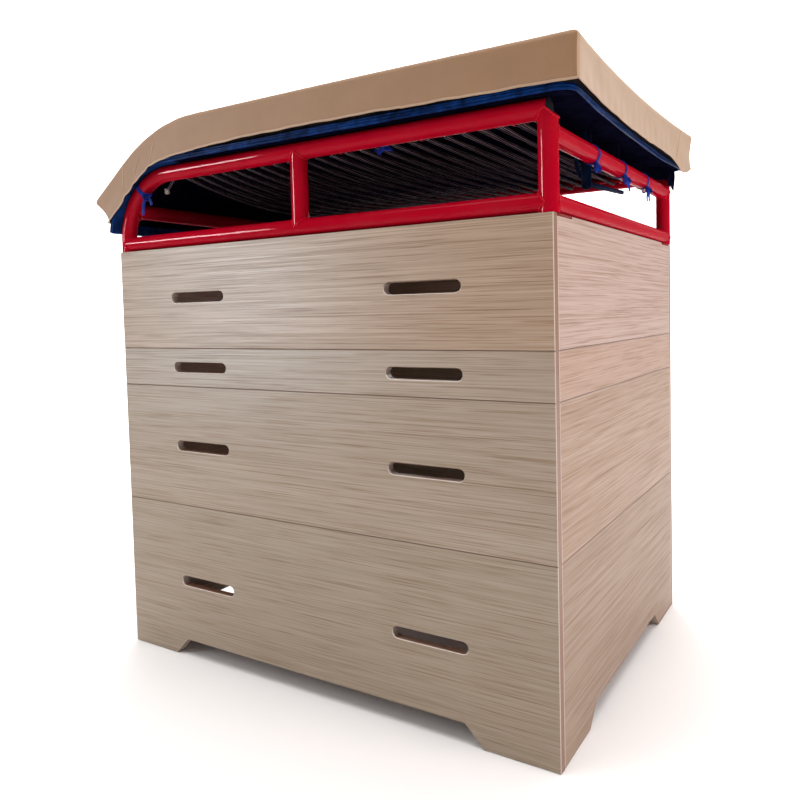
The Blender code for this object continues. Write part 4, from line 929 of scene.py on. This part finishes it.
tapes, legs = [], []
for tied, shape in zip(tied_at, bow_shapes):
    some, upright = bow(*tied, *shape)
    tapes += some
    legs.append(upright)
tape_cloth = coated_cloth("royal_blue_tape", (0.008, 0.014, 0.13), (0.020, 0.045, 0.34), 0.45, 0.0006, 1500.0)
# Painted shade: the legs run up in the shade under the mat and take the near-black copy of the mat's cloth.
for name, surfaces, finish in (("mat_tie_tapes", tapes, tape_cloth), ("mat_tie_legs", legs, shaded_mat_cloth)):
    ties = make_piece(name, join_surfaces(surfaces), 60.0, finish)
    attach(ties, "top_section")

# Hanging corner: at the rear left the mat's sheet isn't folded up, and its loose corner hangs behind the
# post in two soft folds. Its hem is deeper at both ends, and each fold is a slow sine across the sheet.
HANG_START, HANG_END = 0.222, 0.462
HANG_THICK = 0.0022
hang_y, sheet_d = np.meshgrid(np.linspace(HANG_START, HANG_END, 60), np.linspace(0.0, 1.0, 20), indexing="ij")
share = (hang_y - HANG_START) / (HANG_END - HANG_START)
over = unit((hang_y - 0.338) / 0.050)
sheet_x = 0.553 + 0.0566 * over**2 * (3 - 2 * over)
lifted = 0.017 * np.exp(-(((hang_y - 0.364) / 0.026) ** 4))
drop = 0.052 - lifted + 0.004 * share**4 + 0.002 * np.sin(share * 14.0)
fold_out = 0.0016 * np.sin(share * 9.5 + 0.5) * sheet_d + 0.0010 * np.sin(sheet_d * 5.0)
sheet_y = hang_y + 0.002 * np.sin(sheet_d * 4.0)
front = np.stack([sheet_x + fold_out + HANG_THICK / 2, sheet_y, MAT_BOTTOM + 0.003 - drop * sheet_d], -1)
rim = np.concatenate([front, (front - HANG_THICK * X_WAY)[:, ::-1]], axis=1)
# Painted shade: the corner takes the near-black copy of the mat's cloth, for the shadow behind the post.
flap = make_piece("hanging_mat_corner", tube_surface(rim, rim.mean(axis=1)), 50.0, shaded_mat_cloth)
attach(flap, "top_section")

# Webbing: a spare loop of 14 mm webbing and a round strap, sewn to the mat, hang between the bed and the rear
# cross tube. The loop's foot is a half circle.
LOOP_X, LOOP_Y, LOOP_RADIUS = 0.556, -0.138, 0.014
swing = np.linspace(0.0, np.pi, 18)
foot_y = LOOP_Y - LOOP_RADIUS * np.cos(swing)
foot = np.stack([np.full(18, LOOP_X), foot_y, 1.134 - LOOP_RADIUS * np.sin(swing)], -1)
start, end = ([LOOP_X, y, MAT_BOTTOM + 0.001] for y in (-0.152, -0.124))
loop_path = np.vstack([np.linspace(start, foot[0], 8)[:-1], foot, np.linspace(foot[-1], end, 8)[1:]])
strap = smooth_curve(
    [
        (0.530, -0.130, MAT_BOTTOM),
        (0.530, -0.120, 1.170),
        (0.542, -0.085, 1.141),
        (0.556, -0.010, 1.1378),
        (0.556, 0.056, 1.1412),
        (0.556, 0.1346, 1.1462),
    ],
    10,
)
webbing = [tape(loop_path, X_WAY, 0.014, 0.0016), carried_tube(strap, 0.0056, 14, X_WAY, squash=0.8)]
navy = (0.002, 0.005, 0.016), (0.004, 0.014, 0.050)
webbing_cloth = coated_cloth("dark_webbing", *navy, 0.5, 0.0006, 1300.0)
spare = make_piece("spare_webbing_loop", join_surfaces(webbing), 60.0, webbing_cloth)
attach(spare, "top_section")


# Pad: a foam block in a sewn cover of tan suede-like imitation leather. Its top is slightly crowned, its side
# bands draw in and hang uneven at the hem, and it slopes down over the nose, where darts take up the slack.
PAD_TOP = 1.338
PAD_HALF = 0.475
PAD_EDGE = 0.012
BEND_START = -0.290
PAD_BEND = 0.440
PAD_SLOPE = math.radians(34.8)
PAD_RAMP = 0.1486
WALL_TURN = math.radians(42.0)
FLAT_START = PAD_RAMP + PAD_BEND * PAD_SLOPE
PAD_LENGTH = FLAT_START + 0.660 - BEND_START
REAR_BOW, NOSE_BOW = 0.0165, 0.008
SWELL_LIMIT = 0.0055


def across_pad(y):
    """How far a place lies in from the pad's sides: nothing at them and one in the middle."""
    return unit(1 - (y / PAD_HALF) ** 2)


def along_pad(s):
    """How far a place lies in from the pad's ends: nothing at them and one in the middle."""
    return unit(1 - (2 * s / PAD_LENGTH - 1) ** 2)


def depth_line(s):
    """The top's profile at s metres from the nose edge, and the way that depth runs from there.

    The profile is a straight slope, a round bend and then flat. Depth runs square to the flat, and turns
    steadily towards the frame from the bend to the nose edge.
    """
    angle = np.clip(PAD_SLOPE - (s - PAD_RAMP) / PAD_BEND, 0.0, PAD_SLOPE)
    ramp_left, flat_run = np.clip(PAD_RAMP - s, 0.0, None), np.clip(s - FLAT_START, 0.0, None)
    x = BEND_START - PAD_BEND * np.sin(angle) - ramp_left * math.cos(PAD_SLOPE) + flat_run
    z = PAD_TOP - PAD_BEND * (1 - np.cos(angle)) - ramp_left * math.sin(PAD_SLOPE)
    lean = WALL_TURN * unit(1 - s / FLAT_START)
    return x, z, np.sin(lean), -np.cos(lean)


def on_pad(s, y, depth):
    """Point at s metres along the top, y across and depth under it.

    Both ends bow in between their corners, and the far corners are pinched in with the depth.
    """
    s, y, depth = np.broadcast_arrays(s, y, depth)
    near_rear = unit((s - PAD_LENGTH) / 0.15 + 1)
    pinch = (0.004 + 0.13 * depth) * np.exp(-(((PAD_LENGTH - s) / 0.06) ** 2))
    y = y - pinch * unit(y / PAD_HALF) ** 8
    drawn_in = REAR_BOW * across_pad(y) * near_rear**2
    x, z, ahead, down = depth_line(s - drawn_in - NOSE_BOW * unit(1 - s / 0.05))
    return np.stack([x + depth * ahead, y, z + depth * down], -1)


def seat_depth(s):
    """Depth of the mat's face under the top: on the flat, or where the depth line meets the round nose."""
    x, z, ahead, down = depth_line(s)
    flat = (z - MAT_BOTTOM - MAT_THICK - 0.0006) / -down
    along = (x - NOSE_X) * ahead + (z - NOSE_Z) * down
    away = (x - NOSE_X) ** 2 + (z - NOSE_Z) ** 2
    face = MAT_INNER + MAT_THICK + 0.0015
    bend = -along - np.sqrt(np.clip(along**2 - away + face**2, 0.0, None))
    return np.where(x + ahead * flat >= NOSE_X, flat, bend)


def hem_depth(s, y):
    """Depth of the hem: it rides up along the flat and over the bend, and sags at the far rear corner."""
    on_flat = unit((s - FLAT_START) / (PAD_LENGTH - FLAT_START))
    to_nose = unit(1 - s / FLAT_START)
    depth = 0.0845 - 0.009 * np.sin(np.pi * on_flat**0.6) - 0.012 * np.sin(np.pi * to_nose) ** 2
    depth = depth + (seat_depth(0.0) - 0.0835) * to_nose**2
    depth = depth + np.where(s > 1.0, 0.008 * across_pad(y) ** 0.6, 0.0)
    depth = depth + 0.0285 * np.exp(-(((y - 0.385) / 0.09) ** 2) - ((PAD_LENGTH - s) / 0.09) ** 2)
    for notch in (0.230, 0.152, 0.102):
        depth = depth - 0.0042 * np.exp(-(((s - notch) / 0.011) ** 2)) * unit(np.abs(y) / 0.44) ** 12
    slow, quick = np.sin(37.0 * (s + y)), np.sin(83.0 * (s - y) + 1.0)
    return depth + 0.0006 * slow + (0.0004 + 0.0006 * to_nose) * quick


def rounded_line(low, high, count, edge):
    """Even points between two ends, with closer ones near the ends for a rounded edge."""
    ends = edge * np.array([0.0, 0.45, 1.0, 1.8])
    middle = np.linspace(low + 3 * edge, high - 3 * edge, count)
    return np.concatenate([low + ends, middle, high - ends[::-1]])


def pad_rim(count_s, count_y):
    """The grid of the pad's top, the points of its rim, and their s and y with the outward step of each."""
    s = rounded_line(PAD_EDGE, PAD_LENGTH - PAD_EDGE, count_s, PAD_EDGE)
    y = rounded_line(-PAD_HALF + PAD_EDGE, PAD_HALF - PAD_EDGE, count_y, PAD_EDGE)
    rows, columns = len(s), len(y)
    index = np.arange(rows * columns).reshape(rows, columns)
    loop = np.concatenate([index[:-1, 0], index[-1, :-1], index[:0:-1, -1], index[0, :0:-1]])
    rim_s, rim_y = s[loop // columns], y[loop % columns]
    out_s = (rim_s == s[-1]).astype(float) - (rim_s == s[0])
    out_y = (rim_y == y[-1]).astype(float) - (rim_y == y[0])
    return s, y, loop, (rim_s, rim_y, out_s, out_y)


def rim_point(rim, out, depth):
    """Points beside the rim: stepped out by out from the rounded top's rim, at a depth."""
    rim_s, rim_y, out_s, out_y = rim
    return on_pad(rim_s + out_s * out, rim_y + out_y * out, depth)


def pad_shell():
    """The pad's closed surface: a crowned top, rounded edges, side bands, a hem and an underside.

    Each band ring is the rim of the top, stepped out and down. The top rises with along times across,
    and the underside lies at the mat's depth. With it come each face's cloth and the points that are sewn.
    """
    s, y, loop, rim = pad_rim(100, 70)
    rim_s, rim_y, out_s, out_y = rim
    grid_s, grid_y = np.meshgrid(s, y, indexing="ij")
    top = on_pad(grid_s, grid_y, -along_pad(grid_s) * (0.006 + 0.004 * across_pad(grid_y)))
    arch = 0.006 * along_pad(rim_s)
    hem, seat = hem_depth(rim_s, rim_y), seat_depth(rim_s)
    turn = np.array([0.2, 0.4, 0.6, 0.8, 1.0]) * np.pi / 2
    rings = [rim_point(rim, PAD_EDGE * math.sin(t), PAD_EDGE * (1 - math.cos(t)) - arch) for t in turn]
    way = rim_s - rim_y
    for share in np.linspace(0.0, 1.0, 11)[1:]:
        pucker = 0.0006 * share**2 * np.sin(way * 130.0)
        pucker = pucker + 0.0007 * np.sin(np.pi * share) * np.sin(way * 31.0 + 4.0 * share)
        drawn = 0.0035 * math.sin(np.pi * share) ** 0.8 + 0.0012 * share
        depth = PAD_EDGE - arch + (hem - PAD_EDGE + arch) * share
        rings.append(rim_point(rim, PAD_EDGE - drawn + pucker, depth))
    seam, last = len(turn), len(rings)
    for inset, depth in ((0.0034, hem + 0.0008), (0.0060, hem - 0.0020), (0.0130, 0.5 * (hem + seat))):
        rings.append(rim_point(rim, PAD_EDGE - inset, depth))
    inner_s = PAD_LENGTH / 2 + 0.984 * (grid_s - PAD_LENGTH / 2)
    under = on_pad(inner_s, 0.980 * grid_y, seat_depth(inner_s))
    points = np.vstack([top.reshape(-1, 3)] + rings + [under.reshape(-1, 3)])
    first, count = top.size // 3, len(loop)
    under_start = first + len(rings) * count
    loops = [loop] + [first + number * count + np.arange(count) for number in range(len(rings))]
    loops.append(loop + under_start)
    quads = grid_quads(len(s), len(y))[0]
    bands = [
        np.stack([upper, below, np.roll(below, -1), np.roll(upper, -1)], -1)
        for upper, below in zip(loops[:-1], loops[1:])
    ]
    faces = np.vstack([quads] + bands + [quads[:, ::-1] + under_start])
    # The faces of the rear end band take the paler copy of the suede, painted light.
    at_rear = (out_s > 0) & np.roll(out_s > 0, -1)
    cloths = [np.zeros(len(quads), np.int32)] + [at_rear.astype(np.int32)] * last
    cloths.append(np.full(len(quads) + count * (len(bands) - last), 2, np.int32))
    corner = np.abs(out_s) + np.abs(out_y) > 1.5
    sewn = [loops[seam]] + loops[last:] + [ring[corner] for ring in loops[1:last]]
    sewn.append(np.arange(under_start, len(points)))
    return (points, faces, None), np.concatenate(cloths), np.unique(np.concatenate(sewn))


def suede(name, worn, fresh):
    """Imitation suede: short nap in two tones, slow mottling, faint creases and a soft sheen."""
    finish, tree = new_finish(name, {"Sheen Weight": 0.15, "Sheen Roughness": 0.5})
    place = object_place(tree)
    inputs = {"Vector": place, "Thread Scale": 1100.0, "Crease Scale": 5.0}
    fabric = wire(tree, "ShaderNodeGroup", inputs, node_tree=cloth).outputs
    nap = noise(tree, place, 260.0, 4.0, 0.7)
    colour = mix_colour(tree, fabric["Mottle"], worn, fresh)
    # Painted shade: where the nap lies low it takes the darker, shaded copy of the colour, in the hollows of
    # the nap's relief.
    shaded = mix_colour(tree, 1.0, colour, (0.82, 0.79, 0.75), "MULTIPLY")
    creases = relief(tree, 0.45, 0.003, fabric["Creases"])
    fuzz = relief(tree, 0.3, 0.0003, nap, creases)
    dress(finish, mix_colour(tree, nap, shaded, colour), ramp(tree, nap, 0.0, 1.0, 0.62, 0.82), fuzz)
    return finish


top_suede = suede("tan_suede", (0.270, 0.142, 0.065), (0.342, 0.188, 0.091))
# Painted light: the rear end band has a paler copy of the tan suede, lit by the light from the rear.
rear_band_lit_suede = suede("tan_suede_painted_light", (0.386, 0.254, 0.158), (0.442, 0.306, 0.197))
# Painted shade: the pad's underside and the walls under its hem are a near-black cloth, drawn for the shade
# in the gap between the hem and the mat.
underside_shade = coated_cloth("pad_underside_shade", (0.003, 0.003, 0.004), (0.008, 0.007, 0.008), 0.8, 0.0008)
surface, cloths, sewn = pad_shell()
pad = make_piece("tan_pad", surface, 70.0, top_suede, rear_band_lit_suede, underside_shade)
pad.data.polygons.foreach_set("material_index", cloths)
pad.vertex_groups.new(name="seams").add(sewn.tolist(), 1.0, "REPLACE")
rest = np.empty(3 * len(pad.data.vertices))
pad.data.vertices.foreach_get("co", rest)
fabric = pad.modifiers.new("filling", "CLOTH")
fabric.settings.quality = 6
fabric.settings.mass = 0.4
fabric.settings.use_pressure = True
fabric.settings.uniform_pressure_force = 4.0
fabric.settings.tension_stiffness = 40.0
fabric.settings.compression_stiffness = 40.0
fabric.settings.bending_stiffness = 3.0
fabric.settings.shrink_min = -0.004
fabric.settings.vertex_group_mass = "seams"
fabric.settings.effector_weights.gravity = 0.0
fabric.collision_settings.use_collision = False
for number in range(1, 21):
    bpy.context.scene.frame_set(number)
settled = pad.evaluated_get(bpy.context.evaluated_depsgraph_get())
blown = np.empty(len(rest))
settled.data.vertices.foreach_get("co", blown)
move = (blown - rest).reshape(-1, 3)
far = np.linalg.norm(move, axis=1, keepdims=True)
move *= SWELL_LIMIT * (1 - np.exp(-far / 0.025)) / np.maximum(far, 1e-9)
pad.modifiers.remove(fabric)
bpy.context.scene.frame_set(1)
pad.data.vertices.foreach_set("co", (rest.reshape(-1, 3) + move).ravel())
pad.data.update()
smooth = pad.modifiers.new("rounding", "SUBSURF")
smooth.levels = 1
smooth.render_levels = 1
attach(pad, "top_section")
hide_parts("pad_cover", "foam_core")


# Pad seams: the hem is bound with a paler strip, the nose band has three stitched darts on each side, and the
# rear band laps over itself near the far corner. The ridges of the darts and of the lap are drawn in a paler
# suede, a painted highlight on their folds.
def laid_on_pad(path, proud):
    """Moves a line onto the finished pad: along the normal of the nearest point, then out by proud."""
    spots = np.empty((len(pad.data.vertices), 3))
    normals = np.empty(spots.shape)
    pad.data.vertices.foreach_get("co", spots.ravel())
    pad.data.vertex_normals.foreach_get("vector", normals.ravel())
    nearest = np.argmin(((path[:, None, :] - spots[None, :, :]) ** 2).sum(-1), axis=1)
    height = ((path - spots[nearest]) * normals[nearest]).sum(-1, keepdims=True)
    return path + (proud - height) * normals[nearest]


rim = pad_rim(160, 110)[3]
path = rim_point(rim, PAD_EDGE - 0.0013, hem_depth(rim[0], rim[1]) - 0.0018)
hem_suede = suede("hem_suede", (0.40, 0.255, 0.160), (0.50, 0.340, 0.225))
strip = carried_tube(path, 0.0011, 12, Z_WAY + 0.01 * X_WAY, closed=True, squash=2.1)
binding = make_piece("pad_hem_binding", (*strip[:2], None), 60.0, hem_suede)
ridges = []
share = np.linspace(0.0, 1.0, 40)
thick = 0.0016 * np.sqrt(np.sin(np.clip(np.pi * share, 0.1, np.pi - 0.1)))
for side in (-1, 1):
    for marks_s, marks_depth in (
        ((0.283, 0.255, 0.232), (0.014, 0.040, 0.076)),
        ((0.215, 0.182, 0.153), (0.024, 0.042, 0.058)),
        ((0.147, 0.126, 0.103), (0.005, 0.031, 0.061)),
    ):
        dart_s = np.interp(share, (0.0, 0.5, 1.0), marks_s)
        dart_depth = np.interp(share, (0.0, 0.5, 1.0), marks_depth)
        dart_depth = np.minimum(dart_depth, hem_depth(dart_s, side * PAD_HALF) - 0.002)
        path = laid_on_pad(on_pad(dart_s, side * PAD_HALF, dart_depth), 0.0002)
        ridges.append(carried_tube(path, thick, 10, Y_WAY, squash=0.7))
share = np.linspace(0.0, 1.0, 60)
lap_y = 0.346 - 0.046 * share**1.4
path = on_pad(PAD_LENGTH, lap_y, 0.006 + (hem_depth(PAD_LENGTH, lap_y) - 0.007) * share)
ridges.append(carried_tube(laid_on_pad(path, 0.0), 0.0009, 10, X_WAY, squash=0.8))
# Painted highlight: the ridges take a paler suede, as if their folds caught the light.
dart_ridge_highlight = suede("dart_ridge_highlight", (0.40, 0.250, 0.150), (0.50, 0.330, 0.210))
darts = make_piece("pad_darts", (*join_surfaces(ridges)[:2], None), 60.0, dart_ridge_highlight)
for trim in (binding, darts):
    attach(trim, "top_section")
